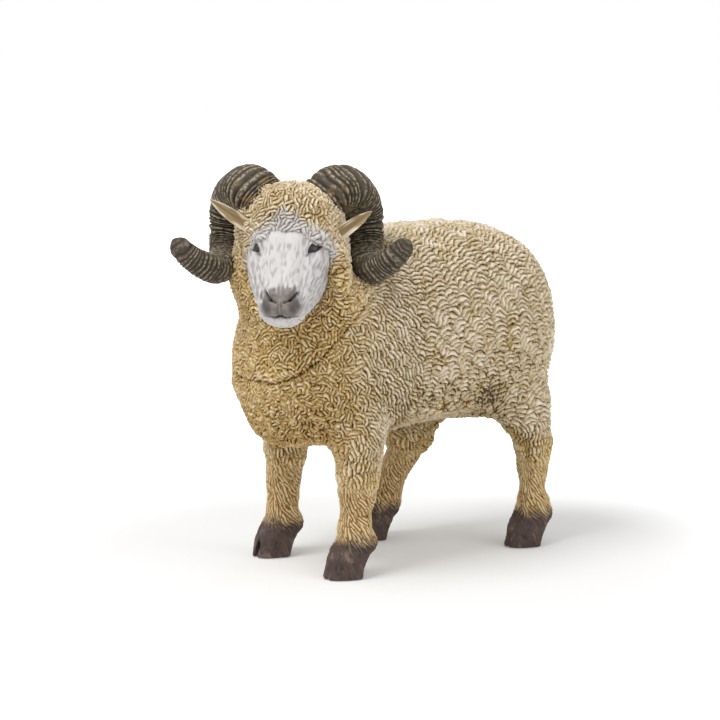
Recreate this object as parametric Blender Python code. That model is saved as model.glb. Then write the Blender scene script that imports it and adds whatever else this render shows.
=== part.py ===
"""A moulded and painted toy ram, as the pieces that are pushed together before it is painted.

The ram stands on the floor at height zero and faces -Y, with its left side towards +X. Lengths
are in metres. Every piece is one solid. Where one piece plugs into another, the carrier is cut
by a copy of the plug that is larger by FIT_GAP all round.
"""
import math

import bmesh
import bpy
from mathutils import Matrix, Vector

# Clearance between a piece and the one that it plugs into, and the facets of a round peg
FIT_GAP = 0.0003
PEG_SIDES = 16

# Edges sharper than this stay sharp in the shading
SHARP_ANGLE = math.radians(50)

# Body
BODY_LENGTH = 0.0673
BODY_WIDTH = 0.0355
BODY_DEPTH = 0.0395
BODY_STEPS = 2

# Locks of wool, which stand out of the fleece in staggered rows
LOCK_WIDTH = 0.0048
LOCK_DEPTH = 0.0007
WOOL_STEPS = 4
SADDLE_SHARE = 0.6

# The wool's lower edge, on every leg, and the belly above it
LEG_LENGTH = 0.0205
SLEEVE_DROP = 0.0075

# Neck and the seam where the front of the ram joins the body
NECK_WIDTH = 0.0275
SEAM_SETBACK = 0.0105
SEAM_RISE_SHARE = 0.5443
SEAM_TILT = math.radians(46)
NECK_PLUG_RADIUS = 0.0065
NECK_PLUG_LENGTH = 0.0055
NECK_KEY_WIDTH = 0.0024

# Head
HEAD_ASIDE = 0.0060
HEAD_SETBACK = 0.0041
HEAD_DROP = 0.0012
HEAD_TURN = math.radians(49.5)
HEAD_DIP = math.radians(48)
BONNET_LENGTH = 0.0190
BONNET_WIDTH = 0.0214
BONNET_DEPTH = 0.0205
FACE_LENGTH = 0.0193
FACE_WIDTH = 0.0172
FACE_DEPTH = 0.0138
HEAD_SIDES = 24
EYE_RADIUS = 0.0016
EYE_SIDES = 12

# Horns
HORN_CURL = 0.0100
HORN_WIDTH = 0.0094
HORN_RIBS = 30
HORN_SIDES = 12
HORN_STEPS = 6
RIB_DEPTH_SHARE = 0.10
KEEL_SHARE = 0.08
HORN_PEG_RADIUS = 0.0021
HORN_PEG_LENGTH = 0.0036

# Ears
EAR_LENGTH = 0.0098
EAR_WIDTH = 0.0036
EAR_THICKNESS = 0.0012
EAR_SIDES = 10
EAR_PEG_RADIUS = 0.0007
EAR_PEG_LENGTH = 0.0024

# Legs and hooves
SLEEVE_WIDTH = 0.0096
SLEEVE_LENGTH = 0.0100
LEG_WIDTH = 0.0074
LEG_DEPTH = 0.0080
LEG_SIDES = 16
LEG_STEPS = 2
LEG_PEG_RADIUS = 0.0023
LEG_PEG_LENGTH = 0.0060
HOOF_WIDTH = 0.0082
HOOF_LENGTH = 0.0102
HOOF_HEIGHT = 0.0082
UPRIGHT_FOOT = 0.0065
CLEFT_WIDTH = 0.0010
CLEFT_HEIGHT = 0.0036
CLEFT_DEPTH_SHARE = 0.40
FRONT_STEP = 0.0014
TRAIL = 0.0004
STRIDE = 0.0088
THIGH_LEAN = 0.0095
HAUNCH_LEAN = 0.0036

# Tail
TAIL_LENGTH = 0.0155
TAIL_WIDTH = 0.0070
TAIL_THICKNESS = 0.0052
TAIL_SIDES = 12
TAIL_PEG_RADIUS = 0.0017
TAIL_PEG_LENGTH = 0.0034

# Paints: linear colour and roughness
FLEECE_PAINT = ((0.66, 0.53, 0.33), 0.75)
FACE_PAINT = ((0.76, 0.74, 0.73), 0.70)
EAR_PAINT = ((0.55, 0.42, 0.27), 0.70)
LEG_PAINT = ((0.50, 0.34, 0.17), 0.70)
HORN_PAINT = ((0.10, 0.08, 0.06), 0.60)

# Heights that follow from the sizes above
BELLY_HEIGHT = LEG_LENGTH + SLEEVE_DROP
BACK_HEIGHT = BELLY_HEIGHT + BODY_DEPTH

# Body sections from chest to rump: place along the length, then half width, top and bottom, and
# how boxy the section is, where 2 is an ellipse. The others are shares of the body's length, of
# half its width, and of its depth above the belly line.
BODY_SHARES = [
    (-0.500, 0.30, 0.50, 0.14, 2.00),
    (-0.478, 0.60, 0.62, 0.00, 2.00),
    (-0.415, 0.84, 0.74, -0.08, 2.00),
    (-0.280, 0.95, 0.88, -0.09, 2.05),
    (-0.100, 1.00, 0.97, -0.05, 2.20),
    (0.060, 1.00, 1.00, -0.03, 2.30),
    (0.270, 0.99, 0.99, -0.01, 2.35),
    (0.390, 0.94, 0.93, 0.02, 2.35),
    (0.468, 0.78, 0.80, 0.09, 2.30),
    (0.500, 0.46, 0.66, 0.24, 2.20),
]
BODY_MIDDLE_SHARE = 0.48

# Neck sections from inside the body up to the skull: how far the centre has gone from root to skull,
# sideways, forward and up, then half width, and reach to the nape and to the throat, as shares of
# half the neck's width.
NECK_SHARES = [
    (0.00, 0.00, 0.00, 1.12, 1.10, 1.24),
    (0.16, 0.40, 0.33, 1.08, 0.90, 1.14),
    (0.50, 0.70, 0.62, 1.06, 0.76, 1.14),
    (0.84, 0.88, 0.84, 1.00, 0.68, 1.04),
    (1.00, 1.00, 1.00, 0.60, 0.56, 0.60),
]
NECK_ROOT_BACK_SHARE = 0.26
NECK_ROOT_HEIGHT_SHARE = 0.45

# Woolly bonnet along the head's axis: place, half width, up and down, as shares of the bonnet's
# length, half its width and half its depth.
BONNET_SHARES = [
    (-0.56, 0.40, 0.40, 0.40),
    (-0.42, 0.80, 0.76, 0.80),
    (-0.18, 1.00, 0.95, 1.05),
    (-0.06, 0.99, 0.91, 1.05),
    (0.05, 0.90, 0.78, 0.97),
    (0.13, 0.68, 0.54, 0.78),
]

# Face along the head's axis: place as a share of the face's length, then half width, up and down
# as shares of half the face's width and depth.
FACE_SHARES = [
    (0.00, 0.90, 0.88, 1.00),
    (0.26, 1.00, 0.94, 1.06),
    (0.45, 0.90, 0.84, 0.98),
    (0.64, 0.68, 0.72, 0.80),
    (0.82, 0.52, 0.62, 0.66),
    (0.93, 0.49, 0.54, 0.62),
    (1.00, 0.32, 0.32, 0.40),
]
EYE_PLACE_SHARES = (0.63, 0.30, 0.64)

# Horn centreline in the head's level frame, outward, forward and up from the skull, and the
# half width of the horn. They are shares of the curl's radius and of half the horn's width.
HORN_SHARES = [
    (0.50, -0.18, 0.66, 0.92),
    (0.77, -0.36, 0.86, 0.97),
    (1.05, -0.70, 0.87, 0.97),
    (1.24, -1.02, 0.57, 0.91),
    (1.32, -1.12, 0.08, 0.82),
    (1.35, -0.92, -0.35, 0.73),
    (1.39, -0.50, -0.56, 0.65),
    (1.57, -0.10, -0.56, 0.58),
    (1.90, 0.14, -0.36, 0.50),
    (2.19, 0.22, -0.08, 0.40),
    (2.27, 0.22, 0.00, 0.22),
]

# Ear from root to tip: place, half width and thickness as shares of the ear's own sizes.
EAR_SHARES = [
    (0.00, 0.44, 0.90),
    (0.22, 0.78, 1.00),
    (0.50, 1.00, 0.90),
    (0.78, 0.72, 0.72),
    (0.94, 0.34, 0.50),
    (1.00, 0.14, 0.30),
]
EAR_ROOT_SHARES = (0.76, -0.02, 0.10)
EAR_AIM_SHARES = (0.80, -0.25, 0.55)

# Leg from the wool's edge down to the hoof: height, half width, and reach in front of and behind the
# leg's line, as shares of the leg's length, half its width and half its depth.
LEG_SHARES = [
    (1.00, 0.98, 0.98, 0.98),
    (0.82, 0.96, 0.98, 0.98),
    (0.62, 0.82, 0.82, 0.86),
    (0.48, 0.84, 0.84, 0.94),
]
# Hoof below it, as shares of the hoof's height, half its width and half its length.
HOOF_SHARES = [
    (0.92, 0.80, 0.58, 0.84),
    (0.66, 0.86, 0.74, 0.88),
    (0.40, 0.96, 1.06, 0.70),
    (0.14, 1.00, 1.26, 0.72),
    (0.00, 0.97, 1.34, 0.70),
]
# Woolly sleeve from its lower edge into the body: rise, how far it has gone inward, half width
# and half length.
SLEEVE_SHARES = [
    (0.00, 0.00, 0.86, 0.90),
    (0.45, 0.00, 1.02, 1.06),
    (1.10, 0.10, 1.18, 1.40),
    (1.80, 0.22, 1.24, 1.70),
    (2.40, 0.38, 1.04, 1.60),
]
LEG_SPREAD_SHARE = 0.685
FRONT_STATION_SHARE = -0.271
HIND_STATION_SHARE = 0.396
STRIDING_STATION_SHARE = 0.2123

# Tail from its root down: drop, how far out it is from the rump's end, half width and half
# thickness as shares of the tail's sizes.
TAIL_SHARES = [
    (0.00, -0.40, 0.60, 0.70),
    (0.20, -0.12, 0.92, 0.94),
    (0.55, 0.06, 1.00, 1.00),
    (0.85, 0.11, 0.74, 0.76),
    (1.00, 0.10, 0.36, 0.40),
]
TAIL_ROOT_SHARE = 0.80


def painted(obj, paint):
    """Gives a piece its own matt painted finish and smooth shading."""
    colour, roughness = paint
    made = bpy.data.materials.new(obj.name + "_paint")
    made.use_nodes = True
    shader = made.node_tree.nodes["Principled BSDF"]
    shader.inputs["Base Color"].default_value = (*colour, 1.0)
    shader.inputs["Roughness"].default_value = roughness
    shader.inputs["Metallic"].default_value = 0.0
    obj.data.materials.clear()
    obj.data.materials.append(made)
    obj.data.shade_smooth()
    obj.data.set_sharp_from_angle(angle=SHARP_ANGLE)
    return obj


def smooth_rows(rows, steps):
    """The rows of a table with steps - 1 rows more between each two, on a Catmull-Rom curve."""
    found = []
    for i in range(len(rows) - 1):
        before, start, end, after = (
            rows[max(i - 1, 0)],
            rows[i],
            rows[i + 1],
            rows[min(i + 2, len(rows) - 1)],
        )
        for k in range(steps):
            t = k / steps
            found.append(
                tuple(
                    0.5
                    * (
                        2 * b
                        + (c - a) * t
                        + (2 * a - 5 * b + 4 * c - d) * t**2
                        + (3 * b - a - 3 * c + d) * t**3
                    )
                    for a, b, c, d in zip(before, start, end, after)
                )
            )
    found.append(tuple(rows[-1]))
    return found


def oval(half_width, up, down, sides, fullness=2.0):
    """Points of a section, sideways and upward. Fullness 2 is an ellipse and more is boxier."""
    points = []
    for i in range(sides):
        angle = 2 * math.pi * (i + 0.5) / sides
        c = math.cos(angle)
        s = math.sin(angle)
        reach = up if s > 0 else down
        points.append(
            (
                half_width * math.copysign(abs(c) ** (2 / fullness), c),
                reach * math.copysign(abs(s) ** (2 / fullness), s),
            )
        )
    return points


def loft(name, rings, collection):
    """One closed solid through rings of equally many points, with flat ends."""
    bm = bmesh.new()
    rows = [[bm.verts.new(point) for point in ring] for ring in rings]
    count = len(rows[0])
    for lower, upper in zip(rows, rows[1:]):
        for i in range(count):
            j = (i + 1) % count
            bm.faces.new((lower[i], lower[j], upper[j], upper[i]))
    bm.faces.new(rows[0])
    bm.faces.new(rows[-1])
    bmesh.ops.recalc_face_normals(bm, faces=bm.faces)
    mesh = bpy.data.meshes.new(name)
    bm.to_mesh(mesh)
    bm.free()
    return place(name, mesh, collection)


def place(name, mesh, collection):
    """An object for this mesh, in its collection."""
    obj = bpy.data.objects.new(name, mesh)
    collection.objects.link(obj)
    return obj


def path_rings(rows, sides, aside):
    """Rings square to a path. A row is its centre, half width, up and down."""
    centres = [Vector(row[:3]) for row in rows]
    rings = []
    for i, row in enumerate(rows):
        along = centres[min(i + 1, len(rows) - 1)] - centres[max(i - 1, 0)]
        along.normalize()
        across = (aside - along * aside.dot(along)).normalized()
        upward = across.cross(along)
        rings.append(
            [
                centres[i] + across * a + upward * b
                for a, b in oval(row[3], row[4], row[5], sides)
            ]
        )
    return rings


def cylinder(name, radius, start, end, collection, sides=PEG_SIDES):
    """A round peg from one point to another."""
    start = Vector(start)
    end = Vector(end)
    bpy.ops.mesh.primitive_cylinder_add(
        vertices=sides, radius=radius, depth=(end - start).length
    )
    obj = bpy.context.object
    obj.name = name
    turn = (end - start).to_track_quat("Z", "Y").to_matrix().to_4x4()
    obj.data.transform(Matrix.Translation((start + end) / 2) @ turn)
    return adopt(obj, collection)


def box(name, size, matrix, collection):
    """A box of this size about the matrix's origin."""
    bpy.ops.mesh.primitive_cube_add(size=1)
    obj = bpy.context.object
    obj.name = name
    obj.data.transform(matrix @ Matrix.Diagonal((*size, 1)))
    return adopt(obj, collection)


def adopt(obj, collection):
    """Moves a primitive from the scene's own collection to this one."""
    for old in list(obj.users_collection):
        old.objects.unlink(obj)
    collection.objects.link(obj)
    return obj


def as_cutter(obj):
    """Marks a helper that shapes others and is no piece itself."""
    obj.hide_render = True
    obj.display_type = "WIRE"
    return obj


def combine(target, tool, operation, solver="EXACT"):
    """Joins, cuts or keeps what is common, and applies the result to the target's mesh."""
    modifier = target.modifiers.new(operation.title(), "BOOLEAN")
    modifier.operation = operation
    modifier.object = tool
    modifier.solver = solver
    bpy.context.view_layer.update()
    graph = bpy.context.evaluated_depsgraph_get()
    result = bpy.data.meshes.new_from_object(target.evaluated_get(graph))
    target.modifiers.remove(modifier)
    old = target.data
    target.data = result
    bpy.data.meshes.remove(old)
    return target


def join_into(target, tool):
    """Joins a helper to the target and removes the helper."""
    combine(target, tool, "UNION")
    bpy.data.objects.remove(tool)
    return target


def wool_sides(width, depth):
    """How many points go round a woolly section: two for each lock."""
    girth = math.pi * (width + depth) / 2
    return 2 * max(3, round(girth / LOCK_WIDTH))


def wool_draw(row, column):
    """How far a point is drawn in between the crests, as a share of a lock's depth."""
    if row % 2:
        return 1.0
    crest = (column + row // 2) % 2 == 0
    return 0.0 if crest else SADDLE_SHARE


def woolly(rings):
    """Rings half a lock apart, read between the given ones, with locks that stand out."""
    gone = [0.0]
    for before, after in zip(rings, rings[1:]):
        steps = [(b - a).length for a, b in zip(before, after)]
        gone.append(gone[-1] + sum(steps) / len(steps))
    count = max(2, round(gone[-1] / LOCK_WIDTH * 2))
    found = [rings[0]]
    for row in range(1, count):
        wanted = gone[-1] * row / count
        k = max(i for i in range(len(rings) - 1) if gone[i] <= wanted)
        share = (wanted - gone[k]) / (gone[k + 1] - gone[k])
        ring = [a.lerp(b, share) for a, b in zip(rings[k], rings[k + 1])]
        middle = sum(ring, Vector()) / len(ring)
        found.append(
            [
                point + (middle - point).normalized() * LOCK_DEPTH * wool_draw(row, column)
                for column, point in enumerate(ring)
            ]
        )
    return found + [rings[-1]]


def drop_crumbs(obj):
    """Keeps the largest shell: cuts through woolly shapes can leave crumbs and closed pockets."""
    bm = bmesh.new()
    bm.from_mesh(obj.data)
    waiting = set(bm.faces)
    shells = []
    while waiting:
        found = [waiting.pop()]
        shell = []
        while found:
            face = found.pop()
            shell.append(face)
            for edge in face.edges:
                for other in edge.link_faces:
                    if other in waiting:
                        waiting.remove(other)
                        found.append(other)
        shells.append(shell)
    outer = max(shells, key=len)
    for shell in shells:
        if shell is not outer:
            bmesh.ops.delete(bm, geom=shell, context="FACES")
    bm.to_mesh(obj.data)
    bm.free()


def head_centre():
    """The middle of the skull, between the ears."""
    return Vector(
        (HEAD_ASIDE, HEAD_SETBACK - BODY_LENGTH / 2, BACK_HEIGHT - HEAD_DROP)
    )


def level_frame():
    """The head's place and turn, level. Its axes are outward to the left, backward and up."""
    return Matrix.Translation(head_centre()) @ Matrix.Rotation(HEAD_TURN, 4, "Z")


def head_frame():
    """The head's frame with its nose dipped: -Y runs down to the nose."""
    return level_frame() @ Matrix.Rotation(HEAD_DIP, 4, "X")


def body_rings():
    """Sections of the barrel from chest to rump, with locks of wool."""
    sides = wool_sides(BODY_WIDTH, BODY_DEPTH)
    rings = []
    for along, half, top, bottom, boxy in smooth_rows(BODY_SHARES, WOOL_STEPS):
        middle = bottom + (top - bottom) * BODY_MIDDLE_SHARE
        section = oval(
            half * BODY_WIDTH / 2,
            (top - middle) * BODY_DEPTH,
            (middle - bottom) * BODY_DEPTH,
            sides,
            boxy,
        )
        height = BELLY_HEIGHT + middle * BODY_DEPTH
        rings.append([Vector((a, along * BODY_LENGTH, height + b)) for a, b in section])
    return woolly(rings)


def neck_rings():
    """Sections of the neck from inside the body to inside the bonnet, with locks of wool."""
    root = Vector(
        (
            0,
            -NECK_ROOT_BACK_SHARE * BODY_LENGTH,
            BELLY_HEIGHT + NECK_ROOT_HEIGHT_SHARE * BODY_DEPTH,
        )
    )
    reach = head_centre() - root
    half = NECK_WIDTH / 2
    rows = []
    for aside, forward, up, wide, nape, throat in smooth_rows(NECK_SHARES, BODY_STEPS):
        centre = root + Vector((aside * reach.x, forward * reach.y, up * reach.z))
        rows.append((*centre, wide * half, nape * half, throat * half))
    return woolly(path_rings(rows, wool_sides(NECK_WIDTH, NECK_WIDTH), Vector((1, 0, 0))))


def head_rings(shares, length, width, depth, sides, steps):
    """Sections along the head's own axis, in the head's frame."""
    frame = head_frame()
    rings = []
    for along, half, up, down in smooth_rows(shares, steps):
        section = oval(half * width / 2, up * depth / 2, down * depth / 2, sides)
        rings.append([frame @ Vector((a, -along * length, b)) for a, b in section])
    return rings


def eye(name, side, collection):
    """One eyeball, set into the face up to its middle."""
    aside, along, up = EYE_PLACE_SHARES
    middle = head_frame() @ Vector(
        (side * aside * FACE_WIDTH / 2, -along * FACE_LENGTH, up * FACE_DEPTH / 2)
    )
    bpy.ops.mesh.primitive_uv_sphere_add(
        segments=EYE_SIDES, ring_count=EYE_SIDES // 2, radius=EYE_RADIUS
    )
    obj = bpy.context.object
    obj.name = name
    obj.data.transform(Matrix.Translation(middle))
    return adopt(obj, collection)


def seam_frame():
    """The plane where the front joins the body: its +Z points to the head."""
    place_on_body = Vector(
        (
            0,
            SEAM_SETBACK - BODY_LENGTH / 2,
            BELLY_HEIGHT + SEAM_RISE_SHARE * BODY_DEPTH,
        )
    )
    return Matrix.Translation(place_on_body) @ Matrix.Rotation(SEAM_TILT, 4, "X")


def half_space(name, side, collection):
    """A block that holds all that lies on one side of the seam, half a gap away from it."""
    reach = BODY_LENGTH * 2
    shift = Matrix.Translation((0, 0, side * (reach + FIT_GAP) / 2))
    return as_cutter(
        box(name, (reach, reach, reach), seam_frame() @ shift, collection)
    )


def neck_plug(name, grow, collection):
    """The plug behind the seam with its shorter key, and with grow its socket."""
    frame = seam_frame()
    root = NECK_KEY_WIDTH / 2
    end = -NECK_PLUG_LENGTH - grow
    plug = cylinder(
        name,
        NECK_PLUG_RADIUS + grow,
        frame @ Vector((0, 0, root)),
        frame @ Vector((0, 0, end)),
        collection,
    )
    key_end = end + NECK_KEY_WIDTH / 2
    key_reach = NECK_PLUG_RADIUS + NECK_KEY_WIDTH / 2 + grow
    key = box(
        name + "_key",
        (NECK_KEY_WIDTH + 2 * grow, key_reach, FIT_GAP - key_end),
        frame @ Matrix.Translation((0, key_reach / 2, (FIT_GAP + key_end) / 2)),
        collection,
    )
    return join_into(plug, key)


def horn_path(side):
    """Centres and half widths along one horn. Side is 1 on the ram's left and -1 on its right."""
    frame = level_frame()
    rows = smooth_rows(HORN_SHARES, HORN_STEPS)
    centres = [
        frame @ Vector((side * a * HORN_CURL, -f * HORN_CURL, u * HORN_CURL))
        for a, f, u, _ in rows
    ]
    halves = [row[3] * HORN_WIDTH / 2 for row in rows]
    return centres, halves


def spaced(centres, halves, count):
    """The same path as count + 1 points at equal distances."""
    lengths = [0.0]
    for a, b in zip(centres, centres[1:]):
        lengths.append(lengths[-1] + (b - a).length)
    found = []
    k = 0
    for i in range(count + 1):
        want = lengths[-1] * i / count
        while k < len(lengths) - 2 and lengths[k + 1] < want:
            k += 1
        t = (want - lengths[k]) / (lengths[k + 1] - lengths[k])
        found.append(
            (
                centres[k].lerp(centres[k + 1], t),
                halves[k] + (halves[k + 1] - halves[k]) * t,
            )
        )
    return found


def keeled(half):
    """Points of a horn's section: round, with three soft corners. One points into the curl."""
    points = []
    for i in range(HORN_SIDES):
        angle = 2 * math.pi * i / HORN_SIDES
        reach = half * (1 + KEEL_SHARE * math.cos(3 * angle))
        points.append((reach * math.cos(angle), reach * math.sin(angle)))
    return points


def horn(name, side, grow, collection):
    """One ribbed horn with its peg, and with grow the space that it takes."""
    points = spaced(*horn_path(side), 2 * HORN_RIBS)
    rings = []
    across = None
    for i, (centre, half) in enumerate(points):
        ahead = points[min(i + 1, len(points) - 1)][0]
        behind = points[max(i - 1, 0)][0]
        along = (ahead - behind).normalized()
        if across is None:
            across = along.cross(level_frame().to_3x3().col[0])
        across = (across - along * across.dot(along)).normalized()
        upward = along.cross(across)
        rib = RIB_DEPTH_SHARE / 2 if i % 2 else -RIB_DEPTH_SHARE / 2
        half = half * (1 + rib) + grow
        if grow and i in (0, len(points) - 1):
            centre = centre + along * (grow if i else -grow)
        rings.append([centre + across * a + upward * b for a, b in keeled(half)])
    made = loft(name, rings, collection)
    root, first = points[0][0], points[1][0]
    inward = (root - first).normalized()
    peg = cylinder(
        name + "_peg",
        HORN_PEG_RADIUS + grow,
        root - inward * HORN_PEG_RADIUS,
        root + inward * (HORN_PEG_LENGTH + grow),
        collection,
    )
    return join_into(made, peg)


def ear(name, side, grow, collection):
    """One ear with its peg, and with grow the space that it takes."""
    frame = level_frame()
    root = frame @ Vector(
        (
            side * EAR_ROOT_SHARES[0] * BONNET_WIDTH / 2,
            -EAR_ROOT_SHARES[1] * BONNET_LENGTH,
            EAR_ROOT_SHARES[2] * BONNET_DEPTH / 2,
        )
    )
    aim = frame.to_3x3() @ Vector(
        (side * EAR_AIM_SHARES[0], -EAR_AIM_SHARES[1], EAR_AIM_SHARES[2])
    )
    aim.normalize()
    facing = frame.to_3x3() @ Vector((0, -1, 0))
    wide = aim.cross(facing).normalized()
    thick = wide.cross(aim)
    rings = []
    for along, half, thin in smooth_rows(EAR_SHARES, BODY_STEPS):
        centre = root + aim * along * EAR_LENGTH
        section = oval(
            half * EAR_WIDTH / 2 + grow,
            thin * EAR_THICKNESS / 2 + grow,
            thin * EAR_THICKNESS / 2 + grow,
            EAR_SIDES,
        )
        rings.append([centre + wide * a + thick * b for a, b in section])
    if grow:
        rings[0] = [point - aim * grow for point in rings[0]]
    made = loft(name, rings, collection)
    peg = cylinder(
        name + "_peg",
        EAR_PEG_RADIUS + grow,
        root + aim * EAR_PEG_RADIUS,
        root - aim * (EAR_PEG_LENGTH + grow),
        collection,
        EAR_SIDES,
    )
    return join_into(made, peg)


def leg_place(side, station):
    """Where a leg's line meets the wool's edge."""
    return Vector(
        (side * LEG_SPREAD_SHARE * BODY_WIDTH / 2, station * BODY_LENGTH, LEG_LENGTH)
    )


def leg(name, side, station, step, grow, collection):
    """One leg with its hoof and peg, and with grow the space that it takes."""
    top = leg_place(side, station)
    rows = [
        (height * LEG_LENGTH, half * LEG_WIDTH, front * LEG_DEPTH, back * LEG_DEPTH)
        for height, half, front, back in LEG_SHARES
    ]
    rows += [
        (height * HOOF_HEIGHT, half * HOOF_WIDTH, front * HOOF_LENGTH, back * HOOF_LENGTH)
        for height, half, front, back in HOOF_SHARES
    ]
    rings = []
    for height, wide, front, back in smooth_rows(rows, LEG_STEPS):
        stepped = min(1, (LEG_LENGTH - height) / (LEG_LENGTH - UPRIGHT_FOOT))
        line = top.y - step * stepped
        section = oval(wide / 2 + grow, front / 2 + grow, back / 2 + grow, LEG_SIDES)
        rings.append([Vector((top.x + a, line - b, height)) for a, b in section])
    if grow:
        rings[0] = [point + Vector((0, 0, grow)) for point in rings[0]]
    made = loft(name, rings, collection)
    peg = cylinder(
        name + "_peg",
        LEG_PEG_RADIUS + grow,
        top - Vector((0, 0, LEG_PEG_RADIUS)),
        top + Vector((0, 0, LEG_PEG_LENGTH + grow)),
        collection,
    )
    return join_into(made, peg)


def cut_cleft(made, side, station, step, collection):
    """Cuts the two toes apart at the front of a hoof."""
    top = leg_place(side, station)
    front = top.y - step - HOOF_SHARES[-1][2] * HOOF_LENGTH / 2
    middle = Matrix.Translation((top.x, front, 0))
    size = (CLEFT_WIDTH, HOOF_LENGTH * CLEFT_DEPTH_SHARE * 2, CLEFT_HEIGHT * 2)
    cutter = box(made.name + "_cleft", size, middle, collection)
    combine(made, cutter, "DIFFERENCE")
    bpy.data.objects.remove(cutter)


def sleeve(name, side, station, lean, collection):
    """The woolly upper part of a leg, which belongs to the body."""
    top = leg_place(side, station)
    rise_most = SLEEVE_SHARES[-1][0]
    sides = wool_sides(SLEEVE_WIDTH, SLEEVE_LENGTH)
    rings = []
    for rise, inward, half, deep in smooth_rows(SLEEVE_SHARES, WOOL_STEPS):
        x = top.x * (1 - inward)
        y = top.y + lean * rise / rise_most
        z = top.z + rise * SLEEVE_DROP
        reach = deep * SLEEVE_LENGTH / 2
        section = oval(half * SLEEVE_WIDTH / 2, reach, reach, sides)
        rings.append([Vector((x + a, y + b, z)) for a, b in section])
    return loft(name, woolly(rings), collection)


def tail(name, grow, collection):
    """The hanging tail with its peg, and with grow the space that it takes."""
    root = Vector((0, BODY_LENGTH / 2, BELLY_HEIGHT + TAIL_ROOT_SHARE * BODY_DEPTH))
    rows = []
    for drop, out, half, thin in smooth_rows(TAIL_SHARES, BODY_STEPS):
        rows.append(
            (
                root.x,
                root.y + out * TAIL_LENGTH,
                root.z - drop * TAIL_LENGTH,
                half * TAIL_WIDTH / 2 + grow,
                thin * TAIL_THICKNESS / 2 + grow,
                thin * TAIL_THICKNESS / 2 + grow,
            )
        )
    rings = path_rings(rows, TAIL_SIDES, Vector((1, 0, 0)))
    if grow:
        rings[0] = [point + Vector((0, 0, grow)) for point in rings[0]]
        rings[-1] = [point - Vector((0, 0, grow)) for point in rings[-1]]
    made = loft(name, rings, collection)
    start = Vector(rows[BODY_STEPS][:3])
    inward = Vector((0, -1, 0))
    reach = TAIL_THICKNESS / 2 + TAIL_PEG_LENGTH + grow
    peg = cylinder(
        name + "_peg", TAIL_PEG_RADIUS + grow, start, start + inward * reach, collection
    )
    return join_into(made, peg)


def bounds(objects):
    """The lowest and highest corner of a box round these objects."""
    points = [obj.matrix_world @ vertex.co for obj in objects for vertex in obj.data.vertices]
    low = Vector([min(point[axis] for point in points) for axis in range(3)])
    high = Vector([max(point[axis] for point in points) for axis in range(3)])
    return low, high


def make_front(barrel, pieces, helpers):
    """The head with the front of the neck, down to the seam, and the plug behind it."""
    head = place("head_and_neck", barrel.data.copy(), pieces)
    sides = wool_sides(BONNET_WIDTH, BONNET_DEPTH)
    bonnet = head_rings(
        BONNET_SHARES, BONNET_LENGTH, BONNET_WIDTH, BONNET_DEPTH, sides, WOOL_STEPS
    )
    join_into(head, loft("bonnet", woolly(bonnet), helpers))
    combine(head, half_space("front_block", 1, helpers), "INTERSECT")
    face = head_rings(
        FACE_SHARES, FACE_LENGTH, FACE_WIDTH, FACE_DEPTH, HEAD_SIDES, BODY_STEPS
    )
    join_into(head, loft("face", face, helpers))
    for side in (1, -1):
        join_into(head, eye("eye", side, helpers))
    return join_into(head, neck_plug("neck_plug", 0, helpers))


def main():
    for old in list(bpy.data.objects):
        bpy.data.objects.remove(old)
    pieces = bpy.data.collections.new("toy_ram")
    helpers = bpy.data.collections.new("cutters")
    bpy.context.scene.collection.children.link(pieces)
    bpy.context.scene.collection.children.link(helpers)

    torso = loft("torso", body_rings(), pieces)
    join_into(torso, loft("neck", neck_rings(), helpers))
    head = make_front(torso, pieces, helpers)
    combine(torso, half_space("back_block", -1, helpers), "INTERSECT")
    combine(torso, as_cutter(neck_plug("neck_socket", FIT_GAP, helpers)), "DIFFERENCE")

    for word, side in (("left", 1), ("right", -1)):
        painted(horn("horn_" + word, side, 0, pieces), HORN_PAINT)
        space = as_cutter(horn("horn_space_" + word, side, FIT_GAP, helpers))
        # The space folds tightly inside the curl, which the exact solver can misread
        combine(head, space, "DIFFERENCE", "MANIFOLD")
        combine(torso, space, "DIFFERENCE", "MANIFOLD")
        painted(ear("ear_" + word, side, 0, pieces), EAR_PAINT)
        space = as_cutter(ear("ear_space_" + word, side, FIT_GAP, helpers))
        combine(head, space, "DIFFERENCE")

    painted(tail("tail", 0, pieces), FLEECE_PAINT)
    combine(torso, as_cutter(tail("tail_space", FIT_GAP, helpers)), "DIFFERENCE")

    legs = (
        ("front_left", 1, FRONT_STATION_SHARE, FRONT_STEP, 0),
        ("front_right", -1, FRONT_STATION_SHARE, FRONT_STEP, 0),
        ("hind_left", 1, HIND_STATION_SHARE, -TRAIL, -HAUNCH_LEAN),
        ("hind_right", -1, STRIDING_STATION_SHARE, STRIDE, THIGH_LEAN),
    )
    for word, side, station, step, lean in legs:
        join_into(torso, sleeve("sleeve_" + word, side, station, lean, helpers))
    for word, side, station, step, lean in legs:
        made = leg("leg_" + word, side, station, step, 0, pieces)
        cut_cleft(made, side, station, step, helpers)
        painted(made, LEG_PAINT)
        space = leg("leg_space_" + word, side, station, step, FIT_GAP, helpers)
        combine(torso, as_cutter(space), "DIFFERENCE")
    for made, paint in ((torso, FLEECE_PAINT), (head, FACE_PAINT)):
        drop_crumbs(made)
        painted(made, paint)

    low, high = bounds(pieces.objects)
    root = bpy.data.objects.new("ram", None)
    root.location = Vector((-(low.x + high.x) / 2, -(low.y + high.y) / 2, -low.z))
    for obj in list(pieces.objects) + list(helpers.objects):
        obj.parent = root
    pieces.objects.link(root)


main()
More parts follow.
